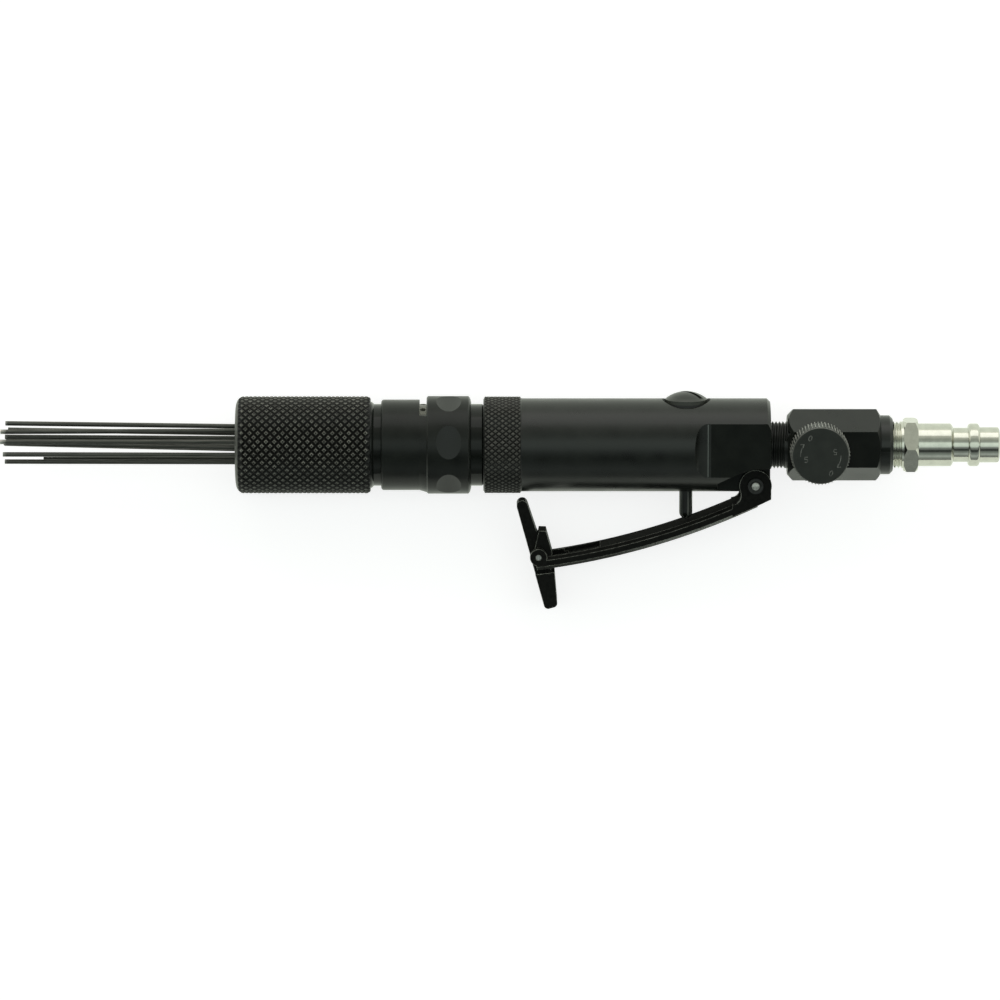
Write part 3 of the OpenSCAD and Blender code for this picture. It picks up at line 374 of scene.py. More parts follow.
def black_oxide(name, dark=(0.0062, 0.0072, 0.0062), light=(0.0120, 0.0135, 0.0115), rough=(0.27, 0.35),
                grain=0.10, ior=1.42, worn=0.35, flats=False, slot=False):
    """Turned black steel with rubbed edges. The flats' front crease carries a thin painted highlight, and the
    slot's floor is bright.
    """
    s = Shader(name, ior=ior)
    cloud = s.noise(0.16, 4.0)
    fine = s.noise(5.0, 3.0)
    rings = s.noise(2.2, 2.0, s.stretch(3.0, 0.15, 0.15))
    colour = s.ramp(cloud, [(0.3, dark), (0.7, light)])
    speck = s.remap(s.noise(1.7, 6.0, rough=0.7), 0.68, 0.76)
    colour = s.mix(s.times(speck, 0.25), colour, (0.09, 0.088, 0.082))
    patch = s.remap(s.noise(0.35, 5.0, rough=0.65), 0.38, 0.66, 0.25 * worn, worn)
    colour = s.mix(s.times(s.edges(0.12), patch), colour, (0.30, 0.295, 0.27))
    roughness = s.math("ADD", s.remap(cloud, 0.3, 0.7, rough[0], rough[1]),
                       s.times(s.math("SUBTRACT", fine, 0.5), 0.10))
    if flats:
        ahead = s.math("ABSOLUTE", s.math("SUBTRACT", s.axis("X"), FLATS_FRONT - 0.1))
        inside = s.remap(s.math("ABSOLUTE", s.axis("Y")), 7.2, 7.6, 0.55, 0.0)
        height = s.remap(s.math("ABSOLUTE", s.axis("Z")), 11.0, 11.2, 1.0, 0.0)
        # The thin light line at the flats' front crease is a painted highlight.
        crease = s.times(s.remap(ahead, 0.10, 0.20, 1.0, 0.0), s.times(inside, height))
        colour = s.mix(crease, colour, (0.20, 0.215, 0.205))
    if slot:
        inside = s.times(s.remap(s.axis("X"), RAMP[0] - 0.05, RAMP[0]),
                         s.remap(s.axis("X"), RAMP[1], RAMP[1] + 0.05, 1.0, 0.0))
        colour = s.mix(inside, colour, (0.20, 0.195, 0.165))
    normal = s.bump(fine, grain, 0.03, s.bump(rings, grain * 0.6, 0.03))
    return s.set(base_color=colour, roughness=roughness, normal=normal)


def cap_painted_shading(name):
    """Black dome with painted light and shade along its height: a painted dark shade at the foot, a lighter
    skirt and a darker dome.
    """
    s = Shader(name, ior=1.45)
    fine = s.noise(5.0, 3.0)
    # Painted light and shade along the cap's height: black foot, lighter skirt, darker dome.
    rise = s.remap(s.axis("Y"), 11.0, 14.0)
    colour = s.ramp(rise, [(0.10, (0.003, 0.003, 0.003)), (0.22, (0.050, 0.052, 0.045)),
                           (0.75, (0.040, 0.042, 0.036)), (1.0, (0.016, 0.017, 0.015))])
    roughness = s.remap(fine, 0.2, 0.8, 0.26, 0.36)
    return s.set(base_color=colour, roughness=roughness, normal=s.bump(fine, 0.10, 0.03))


def pin_painted_highlights(name):
    """Black pin with light streaks along it, painted highlights in place of its reflections."""
    s = Shader(name, ior=1.45)
    # The light streaks are painted highlights along the pin.
    streaks = s.noise(1.5, 2.0, s.stretch(1.0, 0.03, 1.0))
    colour = s.ramp(streaks, [(0.40, (0.006, 0.007, 0.006)), (0.52, (0.030, 0.032, 0.029)),
                              (0.60, (0.12, 0.12, 0.11))])
    return s.set(base_color=colour, roughness=s.remap(streaks, 0.3, 0.7, 0.12, 0.24))


def knurled(name, r_top, depth, rise, edge, top, rim=None):
    """Grooves darkened to black as painted shade, a lighter band on the upper edges from the height rise on
    as a painted highlight, and flat tops of their own colour. A rim is the station in front of which the
    turned front edge is lighter, a painted highlight."""
    groove, flank = (0.0016, 0.0015, 0.0012), (0.0080, 0.0078, 0.0066)
    s = Shader(name, ior=1.34)
    fine = s.noise(6.0, 3.0)
    level = s.remap(s.distance(s.axis("Y"), s.axis("Z")), r_top - depth, r_top)
    # Painted shade darkens the grooves; a painted highlight lightens the upper edges of the diamonds.
    colour = s.ramp(level, [(0.0, groove), (rise - 0.30, flank), (rise, edge), (0.94, edge), (0.985, top)])
    patch = s.remap(s.noise(0.8, 4.0), 0.34, 0.64, 0.75, 0.0)
    colour = s.mix(patch, colour, flank)
    # The lighter turned front edge is a painted highlight.
    if rim is not None:
        colour = s.mix(s.remap(s.axis("X"), rim, rim - 0.25), colour, (0.105, 0.105, 0.096))
    roughness = s.remap(fine, 0.2, 0.8, 0.30, 0.48)
    return s.set(base_color=colour, roughness=roughness, normal=s.bump(fine, 0.15, 0.03))


def cast(name):
    """Black cast steel, dull on top, with its edges grey in patches, partly rubbed wear and partly painted
    edge highlight, and a painted sheen on its lower bevel faces.
    """
    s = Shader(name, ior=1.40, specular_ior_level=0.12)
    lumps = s.noise(0.9, 5.0, rough=0.6)
    fine = s.noise(4.0, 4.0, rough=0.65)
    patch = s.noise(0.45, 5.0, rough=0.65)
    colour = s.ramp(lumps, [(0.3, (0.0030, 0.0031, 0.0026)), (0.72, (0.0085, 0.0085, 0.0074))])
    scuff = s.remap(s.noise(0.5, 7.0, s.stretch(0.5, 1.6, 1.6), 0.7), 0.62, 0.70)
    colour = s.mix(s.times(scuff, 0.25), colour, (0.05, 0.05, 0.046))
    facing = s.facing()
    # A painted sheen on the lower bevel faces, stronger towards the pivot.
    lower_bevel_sheen = s.times(s.remap(facing[1], -0.30, -0.55), s.remap(facing[2], 0.30, 0.55))
    lower_bevel_sheen = s.times(lower_bevel_sheen, s.remap(s.axis("X"), 36.0, 58.0, 0.10, 0.90))
    colour = s.mix(s.times(lower_bevel_sheen, s.remap(fine, 0.35, 0.62)), colour, (0.50, 0.495, 0.455))
    # Edges grey in patches: partly rubbed wear, partly painted edge highlight.
    rubbed = s.times(s.edges(0.30, 0.90), s.remap(patch, 0.36, 0.60, 0.32, 1.0))
    colour = s.mix(rubbed, colour, (0.42, 0.415, 0.37))
    upper = s.remap(facing[1], 0.75, 0.90)
    roughness = s.math("MAXIMUM", s.remap(lumps, 0.25, 0.75, 0.38, 0.56), upper)
    normal = s.bump(fine, 0.30, 0.05, s.bump(lumps, 0.35, 0.22))
    return s.set(base_color=colour, roughness=roughness, normal=normal)


def staked(name, x, y, bright_r):
    """A black pin end with a bright middle about the axis at x, y."""
    s = Shader(name, ior=1.45)
    off = s.distance(s.math("SUBTRACT", s.axis("X"), x), s.math("SUBTRACT", s.axis("Y"), y))
    grain = s.noise(2.2, 4.0)
    middle = s.remap(s.math("ADD", off, s.times(s.math("SUBTRACT", grain, 0.5), 0.5)),
                     bright_r - 0.15, bright_r + 0.10, 1.0, 0.0)
    colour = s.ramp(grain, [(0.3, (0.006, 0.006, 0.006)), (0.7, (0.02, 0.02, 0.019))])
    bright = s.ramp(grain, [(0.3, (0.30, 0.30, 0.28)), (0.7, (0.62, 0.61, 0.58))])
    colour = s.mix(middle, colour, bright)
    return s.set(base_color=colour, roughness=s.remap(grain, 0.2, 0.8, 0.28, 0.44),
                 metallic=s.times(middle, 0.6), normal=s.bump(grain, 0.2, 0.05))


def needle_finish(name):
    """Blackened wire with bright tips."""
    s = Shader(name, metallic=0.75)
    streaks = s.noise(1.0, 4.0, s.stretch(0.12, 5.0, 5.0))
    colour = s.ramp(streaks, [(0.3, (0.040, 0.040, 0.036)), (0.7, (0.105, 0.105, 0.094))])
    edge = s.math("ADD", s.axis("X"), s.times(s.noise(1.4, 2.0), 1.6))
    tip = s.remap(edge, TIPS_X + 1.0, TIPS_X + 2.6, 1.0, 0.0)
    colour = s.mix(tip, colour, (0.42, 0.41, 0.38))
    roughness = s.remap(streaks, 0.3, 0.7, 0.30, 0.46)
    return s.set(base_color=colour, roughness=roughness, normal=s.bump(streaks, 0.10, 0.03))


def plated(name, tint=(0.59, 0.59, 0.525)):
    """Bright plating with turning marks."""
    s = Shader(name, metallic=1.0)
    cloud = s.noise(0.5, 4.0)
    drag = s.noise(1.6, 4.0, s.stretch(6.0, 0.5, 0.5))
    colour = s.ramp(cloud, [(0.3, tuple(c * 0.86 for c in tint)), (0.7, tint)])
    roughness = s.remap(drag, 0.25, 0.75, 0.08, 0.16)
    return s.set(base_color=colour, roughness=roughness, normal=s.bump(drag, 0.07, 0.02))


def metal(name, dark, light, rough):
    """Bare turned metal."""
    s = Shader(name, metallic=1.0)
    drag = s.noise(1.3, 4.0, s.stretch(4.0, 0.6, 0.6))
    colour = s.ramp(drag, [(0.3, dark), (0.7, light)])
    roughness = s.remap(drag, 0.25, 0.75, rough - 0.07, rough + 0.07)
    return s.set(base_color=colour, roughness=roughness, normal=s.bump(drag, 0.08, 0.02))


def rubber(name):
    s = Shader(name, ior=1.5)
    fine = s.noise(3.0, 4.0)
    colour = s.ramp(fine, [(0.3, (0.012, 0.012, 0.012)), (0.7, (0.022, 0.022, 0.022))])
    roughness = s.remap(fine, 0.2, 0.8, 0.55, 0.75)
    return s.set(base_color=colour, roughness=roughness, normal=s.bump(fine, 0.2, 0.05))


def knob_finish(name):
    """Black with the teeth of the rim rubbed bright and the edge of the face rubbed a little."""
    s = Shader(name, ior=1.42)
    cloud = s.noise(0.3, 4.0)
    fine = s.noise(5.0, 3.0)
    off = s.distance(s.math("SUBTRACT", s.axis("X"), KNOB_X), s.axis("Y"))
    colour = s.ramp(cloud, [(0.3, (0.0115, 0.0130, 0.0105)), (0.7, (0.0190, 0.0210, 0.0175))])
    teeth = s.times(s.remap(off, KNOB_R - 0.24, KNOB_R - 0.04),
                    s.remap(s.noise(0.5, 4.0), 0.38, 0.62, 0.25, 0.95))
    colour = s.mix(teeth, colour, (0.46, 0.455, 0.42))
    rim = s.times(s.remap(off, KNOB_R - 0.56, KNOB_R - 0.42, 0.0, 0.6),
                  s.remap(s.axis("Z"), KNOB_TOP - 0.45, KNOB_TOP - 0.25))
    colour = s.mix(rim, colour, (0.16, 0.158, 0.145))
    roughness = s.remap(fine, 0.2, 0.8, 0.28, 0.40)
    return s.set(base_color=colour, roughness=roughness, normal=s.bump(fine, 0.10, 0.03))


def marks_finish(name):
    """Pale print, faded in patches."""
    s = Shader(name, ior=1.45)
    fade = s.noise(1.6, 4.0)
    colour = s.ramp(fade, [(0.35, (0.050, 0.050, 0.046)), (0.65, (0.190, 0.188, 0.174))])
    return s.set(base_color=colour, roughness=s.remap(fade, 0.3, 0.7, 0.4, 0.6))


BODY = black_oxide("black_oxide_satin", flats=True)
FLAT = black_oxide("black_oxide_flats", rough=(0.16, 0.22), grain=0.05, ior=1.20, flats=True)
COLLAR = black_oxide("black_oxide_collar", ior=1.30)
SPOT = black_oxide("black_oxide_spots", (0.0038, 0.0045, 0.0040), (0.0066, 0.0076, 0.0066),
                   grain=0.05, ior=1.38)
NECK = black_oxide("black_oxide_ground", rough=(0.07, 0.12), grain=0.03, ior=1.28, slot=True)
PIN = pin_painted_highlights("black_pin")
SLOTS = {
    "black_oxide": BODY,
    "cast_black": cast("cast_black"),
    "steel": metal("bright_steel", (0.36, 0.36, 0.35), (0.52, 0.52, 0.50), 0.30),
    "needle_steel": needle_finish("needle_steel"),
    "spring_steel": metal("spring_steel", (0.22, 0.22, 0.22), (0.34, 0.34, 0.33), 0.32),
    "bronze": metal("bronze", (0.30, 0.20, 0.09), (0.42, 0.29, 0.13), 0.34),
    "rubber": rubber("seal_rubber"),
    "plated": plated("plated"),
}
# Both knurls carry painted shade in their grooves and painted highlights on their upper edges.
COARSE = knurled("knurl_coarse", SLEEVE_R, COARSE_DEPTH, 0.84, (0.250, 0.245, 0.214),
                 (0.0120, 0.0118, 0.0100), SLEEVE_FRONT + 1.0)
FINE = knurled("knurl_fine", BAND_R + FINE_RISE, FINE_DEPTH, 0.76, (0.095, 0.093, 0.081),
               (0.070, 0.068, 0.060))


def dress(obj, material):
    obj.data.materials.clear()
    obj.data.materials.append(material)


def dress_flats(obj, front):
    """Gives the level faces behind a station the finish of the spanner flats."""
    level = 0.999
    obj.data.materials.append(FLAT)
    up = TOOL.to_quaternion() @ Vector((0, 0, 1))
    for face in obj.data.polygons:
        if abs(face.normal.dot(up)) > level and (UNTOOL @ face.center).x > front:
            face.material_index = 1


for part in frame["record"]["subparts"]:
    dress(frame["nodes"][part["node"]], SLOTS[part["material_slot"]])
dress(frame["nodes"]["barrel"], NECK)
dress(frame["nodes"]["cap_screw"], cap_painted_shading("cap_black"))
dress_flats(frame["nodes"]["housing"], FLATS_FRONT)
dress(frame["nodes"]["throttle_pin"], PIN)
dress(frame["nodes"]["lever_pin"], staked("staked_pin", *LEVER_PIN, STAKE_R))


# Pieces
def nose_sleeve():
    """The nose sleeve with its coarse diamond knurl, rounded front edge, mouth and bore."""
    edge_x, edge_r = SLEEVE_FRONT + SLEEVE_EDGE, SLEEVE_R - SLEEVE_DROP
    x0, x1 = SLEEVE_FRONT + 0.75, SLEEVE_REAR - 0.05
    bm = bmesh.new()
    (front, rear), angles = knurl(bm, x0, x1, SLEEVE_R, COARSE_DEPTH, COARSE_COUNT, COARSE_ROWS, COARSE_TOP)
    for v in bm.verts:
        x, r = v.co.x, math.hypot(v.co.y, v.co.z)
        limit = SLEEVE_R - max(0.0, x - (x1 - COARSE_DEPTH))
        if x < edge_x:
            limit = edge_r + SLEEVE_DROP * math.sqrt(max(0.0, 1 - ((edge_x - x) / SLEEVE_EDGE) ** 2))
        if r > limit:
            v.co.y *= limit / r
            v.co.z *= limit / r
    # The knurl ends at 41.2 degrees round the front edge, and a plain rounding goes on from there.
    start, steps = 41.2, 7
    profile = []
    for k in range(1, steps + 1):
        a = math.radians(start + (90 - start) * k / steps)
        profile.append((edge_x - SLEEVE_EDGE * math.sin(a), edge_r + SLEEVE_DROP * math.cos(a)))
    profile += [(SLEEVE_FRONT, MOUTH_R + MOUTH_CHAMFER), (SLEEVE_FRONT + MOUTH_CHAMFER, MOUTH_R),
                (GUIDE_FRONT, MOUTH_R), (GUIDE_FRONT, SLEEVE_BORE), (BARREL_FRONT, SLEEVE_BORE),
                (BARREL_FRONT, SPIGOT_BORE), (SLEEVE_REAR, SPIGOT_BORE),
                (SLEEVE_REAR, SLEEVE_R - COARSE_DEPTH - 0.1)]
    skin(bm, [front] + [ring(bm, x, r, angles) for x, r in profile] + [rear])
    return new_object("nose_sleeve_knurled", bm, 20)


def front_collar():
    """The collar: a plain band, a ramp, a ring with dished finger spots, and the exhaust slot."""
    facets, smooth_deg = 96, 12
    angles = [TAU * i / facets for i in range(facets)]
    profile = [(RING_REAR, COLLAR_BORE), (COLLAR_FRONT, COLLAR_BORE)]
    for k in range(10):
        a = math.radians(10 * k)
        profile.append((COLLAR_FRONT + COLLAR_EDGE * (1 - math.cos(a)),
                        COLLAR_R - COLLAR_EDGE * (1 - math.sin(a))))
    profile += [(RAMP[0], COLLAR_R), (RAMP[1], RING_R - RING_CHAMFER), (RAMP[1] + RING_CHAMFER, RING_R),
                (RING_REAR - 0.8, RING_R), (RING_REAR - 0.45, RING_R - 0.35),
                (RING_REAR - 0.2, RING_R - 0.9), (RING_REAR, RING_R - 1.8)]
    bm = bmesh.new()
    loops = [ring(bm, x, r, angles) for x, r in profile]
    skin(bm, loops + loops[:1])
    obj = new_object("front_collar_dished", bm, smooth_deg)
    high = RING_R - SPOT_DEPTH + SPOT_R
    turns = [math.radians(SPOT_FIRST + 360 * i / SPOTS) for i in range(SPOTS)]
    bm = bmesh.new()
    for turn in turns:
        place = Matrix.Rotation(turn, 4, "X") @ Matrix.Translation((SPOT_X, high, 0))
        bmesh.ops.create_cone(bm, cap_ends=True, segments=72, radius1=SPOT_R, radius2=SPOT_R, depth=12.0,
                              matrix=place)
    cut(obj, new_object("spot_cutter", bm))
    tall, wide = 20, 40
    place = Matrix.Translation((sum(RAMP) / 2, SLOT_FLOOR + tall / 2, 0))
    bm = bmesh.new()
    bmesh.ops.create_cube(bm, size=1.0, matrix=place @ Matrix.Diagonal((RAMP[1] - RAMP[0], tall, wide, 1)))
    cut(obj, new_object("slot_cutter", bm))
    resmooth(obj, smooth_deg)
    return obj, turns, high


def dress_spots(obj, turns, high):
    """Gives the dished finger spots their own finish."""
    near = 0.03
    obj.data.materials.append(SPOT)
    points = [UNTOOL @ v.co for v in obj.data.vertices]
    for turn in turns:
        def off(p):
            up = p.y * math.cos(turn) + p.z * math.sin(turn)
            return abs(math.hypot(p.x - SPOT_X, up - high) - SPOT_R)

        sunk = {i for i, p in enumerate(points) if off(p) < near}
        for face in obj.data.polygons:
            if sunk.issuperset(face.vertices):
                face.material_index = 1


def grip_band():
    """The fine diamond knurl round the front of the housing."""
    x0, x1 = BAND_MARGIN, BAND_LEN - BAND_MARGIN
    bm = bmesh.new()
    (front, rear), angles = knurl(bm, x0, x1, BAND_R + FINE_RISE, FINE_DEPTH, FINE_COUNT, FINE_ROWS, FINE_TOP)
    foot, root = BAND_R - 0.05, BAND_R - 0.3
    profile = ((x0 - 0.2, foot), (x0, root), (x1, root), (x1 + 0.2, foot))
    skin(bm, [front] + [ring(bm, x, r, angles) for x, r in profile] + [rear])
    return new_object("grip_knurl_band", bm, 20)


def threaded(node, name, stations, r, depth, turn=0.0):
    """A copy of a CAD node, turned about the tool's axis, with a vee thread cut into its neck."""
    bm = copy_of(node)
    bm.transform(Matrix.Rotation(math.radians(turn), 4, "X"))
    obj = new_object(name, bm)
    cut(obj, helix_cutter(*stations, r, depth, THREAD_PITCH, name + "_cutter"))
    resmooth(obj)
    return obj


def knob():
    """The regulator knob with its serrated rim."""
    key_r, key_top = 3.05, KNOB_LOW + 6.55
    shares = ((-0.5, 0), (-0.22, 0), (-0.1, 1), (0.1, 1), (0.22, 0))
    bm = bmesh.new()

    def loop(z, r, serrated):
        row = []
        for i in range(KNOB_TEETH):
            for d, h in shares:
                a = TAU * (i + d) / KNOB_TEETH
                rr = r - (KNOB_TOOTH * (1 - h) if serrated else 0)
                row.append(bm.verts.new((KNOB_X + rr * math.cos(a), rr * math.sin(a), z)))
        return row

    outline = [(key_top, key_r, False), (KNOB_LOW, key_r, False), (KNOB_LOW, KNOB_R - 1.2, False),
               (KNOB_LOW + 0.9, KNOB_R - KNOB_TOOTH, False), (KNOB_LOW + 1.3, KNOB_R, True),
               (KNOB_TOP - 0.55, KNOB_R, True), (KNOB_TOP - 0.18, KNOB_R - 0.28, False),
               (KNOB_TOP, KNOB_R - 0.46, False)]
    rings = [loop(*o) for o in outline]
    skin(bm, rings)
    bm.faces.new(rings[0])
    bm.faces.new(rings[-1])
    return new_object("regulator_knob_serrated", bm, 25)


def ribbon(bm, points, width, z, thick, closed=False):
    """A flat raised line of the given width along points on the knob's face."""
    count = len(points)
    rows = []
    for i, p in enumerate(points):
        before = points[i - 1] if (i or closed) else p
        after = points[(i + 1) % count] if (i < count - 1 or closed) else p
        way = (Vector(after) - Vector(before)).normalized()
        side = Vector((-way.y, way.x)) * width / 2
        a, b = Vector(p) + side, Vector(p) - side
        rows.append([bm.verts.new((*q, h)) for q, h in ((a, z), (a, z + thick), (b, z + thick), (b, z))])
    skin(bm, rows + rows[:1] if closed else rows)
    if not closed:
        bm.faces.new(rows[0])
        bm.faces.new(rows[-1])


def dial_marks():
    """Two turning arrows with plain numbers at their ends, the second pair half a turn from the first."""
    z, thick, width = KNOB_TOP - 0.02, 0.05, 0.22
    arc_r, arc_from, arc_step, arc_points = 5.6, 146, 4.5, 9
    arc_turns = [math.radians(arc_from + arc_step * i) for i in range(arc_points)]
    arc = [(arc_r * math.cos(a), arc_r * math.sin(a)) for a in arc_turns]
    head, barbs = arc[0], ((-0.25, -0.95), (-1.0, 0.0))
    zero = [(-2.9 + 0.42 * math.cos(a) + 0.18 * math.sin(a), 4.9 + 0.7 * math.sin(a))
            for a in (TAU * i / 16 for i in range(16))]
    five = [(0.42, 0.75), (-0.36, 0.75), (-0.42, 0.08), (0.1, 0.16), (0.42, -0.14), (0.4, -0.5),
            (0.08, -0.75), (-0.42, -0.66)]
    bm = bmesh.new()
    for turn in (0.0, math.pi):
        def at(x, y):
            c, n = math.cos(turn), math.sin(turn)
            return (KNOB_X + c * x - n * y, n * x + c * y)

        ribbon(bm, [at(*p) for p in arc], width, z, thick)
        for dx, dy in barbs:
            ribbon(bm, [at(head[0] + 0.08, head[1] + 0.08), at(head[0] + dx, head[1] + dy)], width, z, thick)
        ribbon(bm, [at(*p) for p in zero], width, z, thick, True)
        ribbon(bm, [at(-4.0 + x, -1.1 + y) for x, y in five], width, z, thick)
    return new_object("dial_marks", bm, 40)


def coil(name, start, along, r, wire, turns, length):
    """A round-wire spring from start along one of the tool's axes."""
    sides, per_turn = 10, 28
    ahead, first = Vector(along), Vector((along[2], along[0], along[1]))
    second = ahead.cross(first)
    bm = bmesh.new()
    rings = []
    for i in range(turns * per_turn + 1):
        a = TAU * i / per_turn
        out = first * math.cos(a) + second * math.sin(a)
        middle = Vector(start) + ahead * (wire / 2 + (length - wire) * i / (turns * per_turn)) + out * r
        rings.append([bm.verts.new(middle + wire / 2 * (out * math.cos(b) + ahead * math.sin(b)))
                      for b in (TAU * k / sides for k in range(sides))])
    skin(bm, rings)
    bm.faces.new(rings[0])
    bm.faces.new(rings[-1])
    return new_object(name, bm, 50)


def shorten(obj):
    """Gives a spring its own copy of its mesh."""
    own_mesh(obj)


def add(obj, material, body, node=None):
    dress(obj, material)
    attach(obj, body)
    if node:
        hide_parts(node)


add(nose_sleeve(), COARSE, "grip", "nose_sleeve")
add(grip_band(), FINE, "grip")
collar, spot_turns, spot_high = front_collar()
add(collar, COLLAR, "grip", "front_collar")
dress_spots(collar, spot_turns, spot_high)
inlet = threaded("inlet_body", "inlet_body_threaded", INLET_THREAD, INLET_R, INLET_DEPTH)
add(inlet, BODY, "grip", "inlet_body")
dress_flats(inlet, INLET_HEX)
nipple = threaded("hose_nipple", "hose_nipple_threaded", NIPPLE_THREAD, NIPPLE_R, NIPPLE_DEPTH, NIPPLE_TURN)
add(nipple, SLOTS["plated"], "grip", "hose_nipple")
add(knob(), knob_finish("knob_black"), "regulator", "regulator_knob")
add(dial_marks(), marks_finish("dial_print"), "regulator")

return_foot = (GUIDE_REAR + SPRING_FIT, 0, 0)
return_len = HOLDER_FRONT - GUIDE_REAR - 2 * SPRING_FIT
return_spring = coil("return_spring_coil", return_foot, ALONG_X, RETURN_R, RETURN_WIRE, SPRING_TURNS,
                     return_len)
add(return_spring, SLOTS["spring_steel"], "grip", "return_spring")
shorten(return_spring)

closer_foot, closer_head = (THROTTLE_X, POPPET_TOP + SPRING_FIT, 0), (THROTTLE_X, CAP_FOOT - SPRING_FIT, 0)
closer_len = CAP_FOOT - POPPET_TOP - 2 * SPRING_FIT
closer = coil("throttle_spring_coil", closer_foot, ALONG_Y, CLOSER_R, CLOSER_WIRE, SPRING_TURNS, closer_len)
add(closer, SLOTS["spring_steel"], "grip", "throttle_spring")
shorten(closer)


# Stage, light and camera
FLOOR_SIZE, FLOOR_DROP, FLOOR_GLOW = 6.0, 0.0001, 0.78
FLOOR_PAINT, FLOOR_SEEN, FLOOR_MIRRORED = (0.46, 0.445, 0.458, 1), (1, 1, 1, 1), (0.93, 1.0, 0.86, 1)


def floor():
    """A plain pale floor, lifted to white for the camera and for reflections. It keeps the tool's shadow."""
    bm = bmesh.new()
    bmesh.ops.create_grid(bm, x_segments=8, y_segments=8, size=FLOOR_SIZE)
    mesh = bpy.data.meshes.new("floor")
    bm.to_mesh(mesh)
    bm.free()
    obj = bpy.data.objects.new("floor", mesh)
    obj.location.z = -FLOOR_DROP
    bpy.context.scene.collection.objects.link(obj)
    material = bpy.data.materials.new("floor_white")
    material.use_nodes = True
    tree = material.node_tree
    tree.nodes.clear()
    out = tree.nodes.new("ShaderNodeOutputMaterial")
    paint = tree.nodes.new("ShaderNodeBsdfDiffuse")
    paint.inputs["Color"].default_value = FLOOR_PAINT
    glow = tree.nodes.new("ShaderNodeEmission")
    path = tree.nodes.new("ShaderNodeLightPath")
    hue = tree.nodes.new("ShaderNodeMix")
    hue.data_type = "RGBA"
    hue.inputs[6].default_value = FLOOR_MIRRORED
    hue.inputs[7].default_value = FLOOR_SEEN
    direct = tree.nodes.new("ShaderNodeMath")
    direct.operation = "MAXIMUM"
    seen = tree.nodes.new("ShaderNodeMath")
    seen.operation = "MAXIMUM"
    lift = tree.nodes.new("ShaderNodeMath")
    lift.operation = "MULTIPLY"
    lift.inputs[1].default_value = FLOOR_GLOW
    both = tree.nodes.new("ShaderNodeAddShader")
    link = tree.links.new
    link(path.outputs["Is Camera Ray"], direct.inputs[0])
    link(path.outputs["Is Glossy Ray"], direct.inputs[1])
    link(direct.outputs[0], seen.inputs[0])
    link(path.outputs["Is Transmission Ray"], seen.inputs[1])
    link(seen.outputs[0], lift.inputs[0])
    link(lift.outputs[0], glow.inputs["Strength"])
    link(path.outputs["Is Camera Ray"], hue.inputs[0])
    link(hue.outputs[2], glow.inputs["Color"])
    link(paint.outputs[0], both.inputs[0])
    link(glow.outputs[0], both.inputs[1])
    link(both.outputs[0], out.inputs[0])
    obj.data.materials.append(material)


# Light of the room by direction: degrees from straight up, towards the far side of the tool, and its colour.
ROOM = (
    (-180, (0.30, 0.30, 0.30)), (-92, (0.20, 0.21, 0.20)), (-78, (0.28, 0.31, 0.29)),
    (-65, (0.50, 0.56, 0.53)), (-50, (0.26, 0.30, 0.28)), (-34, (0.03, 0.035, 0.033)),
    (-20, (0.26, 0.29, 0.28)), (-8, (0.92, 1.05, 0.98)), (8, (1.02, 1.15, 1.06)),
    (18, (0.42, 0.47, 0.43)), (28, (0.40, 0.44, 0.39)), (46, (0.68, 0.71, 0.63)),
    (70, (0.92, 0.94, 0.84)), (92, (1.30, 1.31, 1.18)), (180, (0.6, 0.6, 0.6)),
)


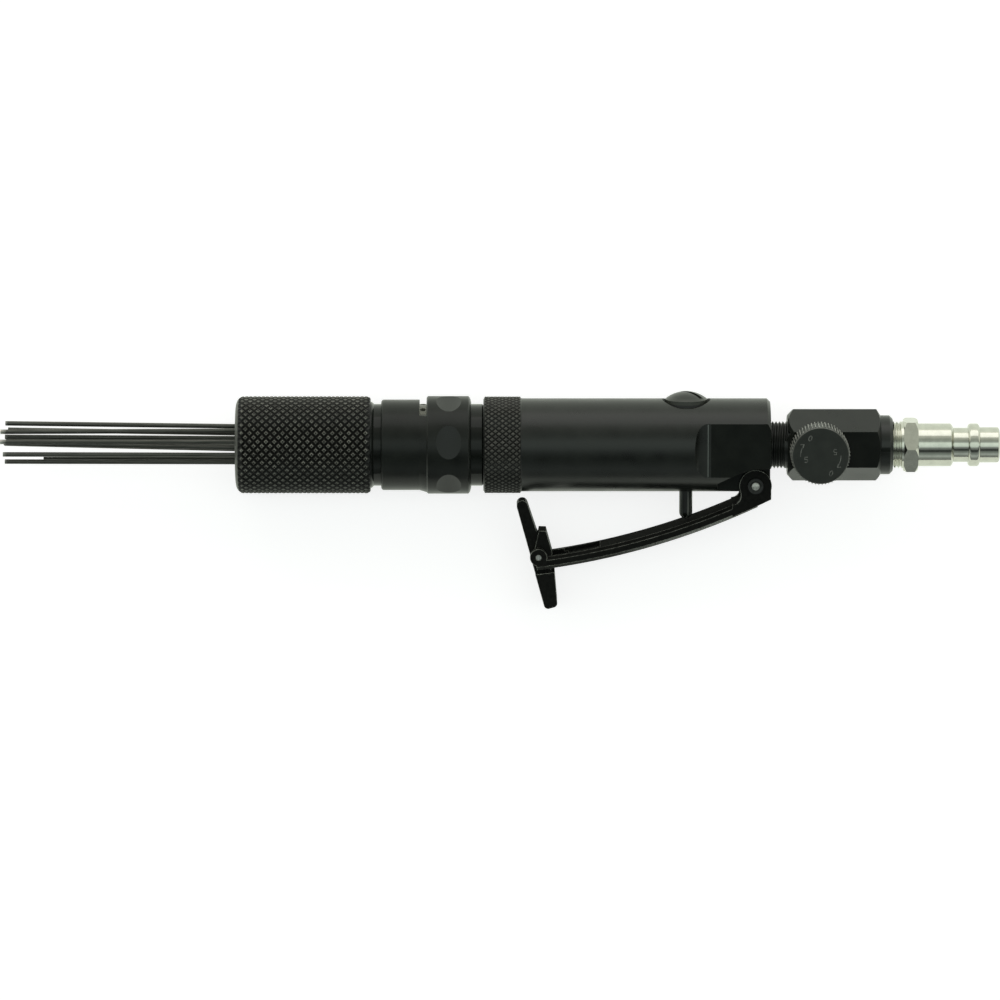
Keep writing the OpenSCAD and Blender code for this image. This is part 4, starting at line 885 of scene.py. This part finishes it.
def world():
    """A room in soft bands of light along the tool. The camera sees it as a white backdrop."""
    w = bpy.data.worlds.new("studio")
    bpy.context.scene.world = w
    w.use_nodes = True
    tree = w.node_tree
    tree.nodes.clear()
    out = tree.nodes.new("ShaderNodeOutputWorld")
    room = tree.nodes.new("ShaderNodeBackground")
    white = tree.nodes.new("ShaderNodeBackground")
    white.inputs["Color"].default_value = (1, 1, 1, 1)
    white.inputs["Strength"].default_value = 1.0
    coord = tree.nodes.new("ShaderNodeTexCoord")
    split = tree.nodes.new("ShaderNodeSeparateXYZ")
    turn = tree.nodes.new("ShaderNodeMath")
    turn.operation = "ARCTAN2"
    share = tree.nodes.new("ShaderNodeMapRange")
    for slot, number in zip((1, 2, 3, 4), (-math.pi, math.pi, 0.0, 1.0)):
        share.inputs[slot].default_value = number
    bands = tree.nodes.new("ShaderNodeValToRGB")
    bands.color_ramp.interpolation = "EASE"
    elements = bands.color_ramp.elements
    while len(elements) < len(ROOM):
        elements.new(1.0)
    for element, (degrees, colour) in zip(elements, ROOM):
        element.position = (degrees + 180) / 360
        element.color = (*colour, 1.0)
    path = tree.nodes.new("ShaderNodeLightPath")
    pick = tree.nodes.new("ShaderNodeMixShader")
    link = tree.links.new
    link(coord.outputs["Generated"], split.inputs[0])
    link(split.outputs["Y"], turn.inputs[0])
    link(split.outputs["Z"], turn.inputs[1])
    link(turn.outputs[0], share.inputs[0])
    link(share.outputs[0], bands.inputs[0])
    link(bands.outputs[0], room.inputs["Color"])
    link(path.outputs["Is Camera Ray"], pick.inputs[0])
    link(room.outputs[0], pick.inputs[1])
    link(white.outputs[0], pick.inputs[2])
    link(pick.outputs[0], out.inputs[0])


def lamp(name, place, target, size, watts):
    """A rectangular softbox."""
    data = bpy.data.lights.new(name, "AREA")
    data.shape = "RECTANGLE"
    data.size, data.size_y = size
    data.energy = watts
    obj = bpy.data.objects.new(name, data)
    obj.location = place
    obj.rotation_mode = "QUATERNION"
    obj.rotation_quaternion = (Vector(target) - Vector(place)).to_track_quat("-Z", "Y")
    bpy.context.scene.collection.objects.link(obj)


# The photograph's scale, its side in pixels and the row on which the tool's axis lies.
PX_MM, PHOTO_PX, AXIS_ROW = 0.2793, 1000, 444.8
SENSOR_MM, CAMERA_HEIGHT, CAMERA_FAR = 36.0, 2.0, 100.0


def camera():
    """Straight down from far above, at the photograph's scale, with the tool's axis on its row there."""
    data = bpy.data.cameras.new("camera")
    data.sensor_width = SENSOR_MM
    data.lens = SENSOR_MM * CAMERA_HEIGHT / (PHOTO_PX * PX_MM * MM)
    data.clip_end = CAMERA_FAR
    obj = bpy.data.objects.new("camera", data)
    obj.location = (0.0, ORIGIN.y - (PHOTO_PX / 2 - AXIS_ROW) * PX_MM * MM, ORIGIN.z + CAMERA_HEIGHT)
    bpy.context.scene.collection.objects.link(obj)
    bpy.context.scene.camera = obj


floor()
world()
lamp("softbox", place=(0.0, 1.5, 0.65), target=(0, 0, 0), size=(2.6, 1.0), watts=7.0)
camera()
bpy.context.scene.view_settings.view_transform = "Standard"
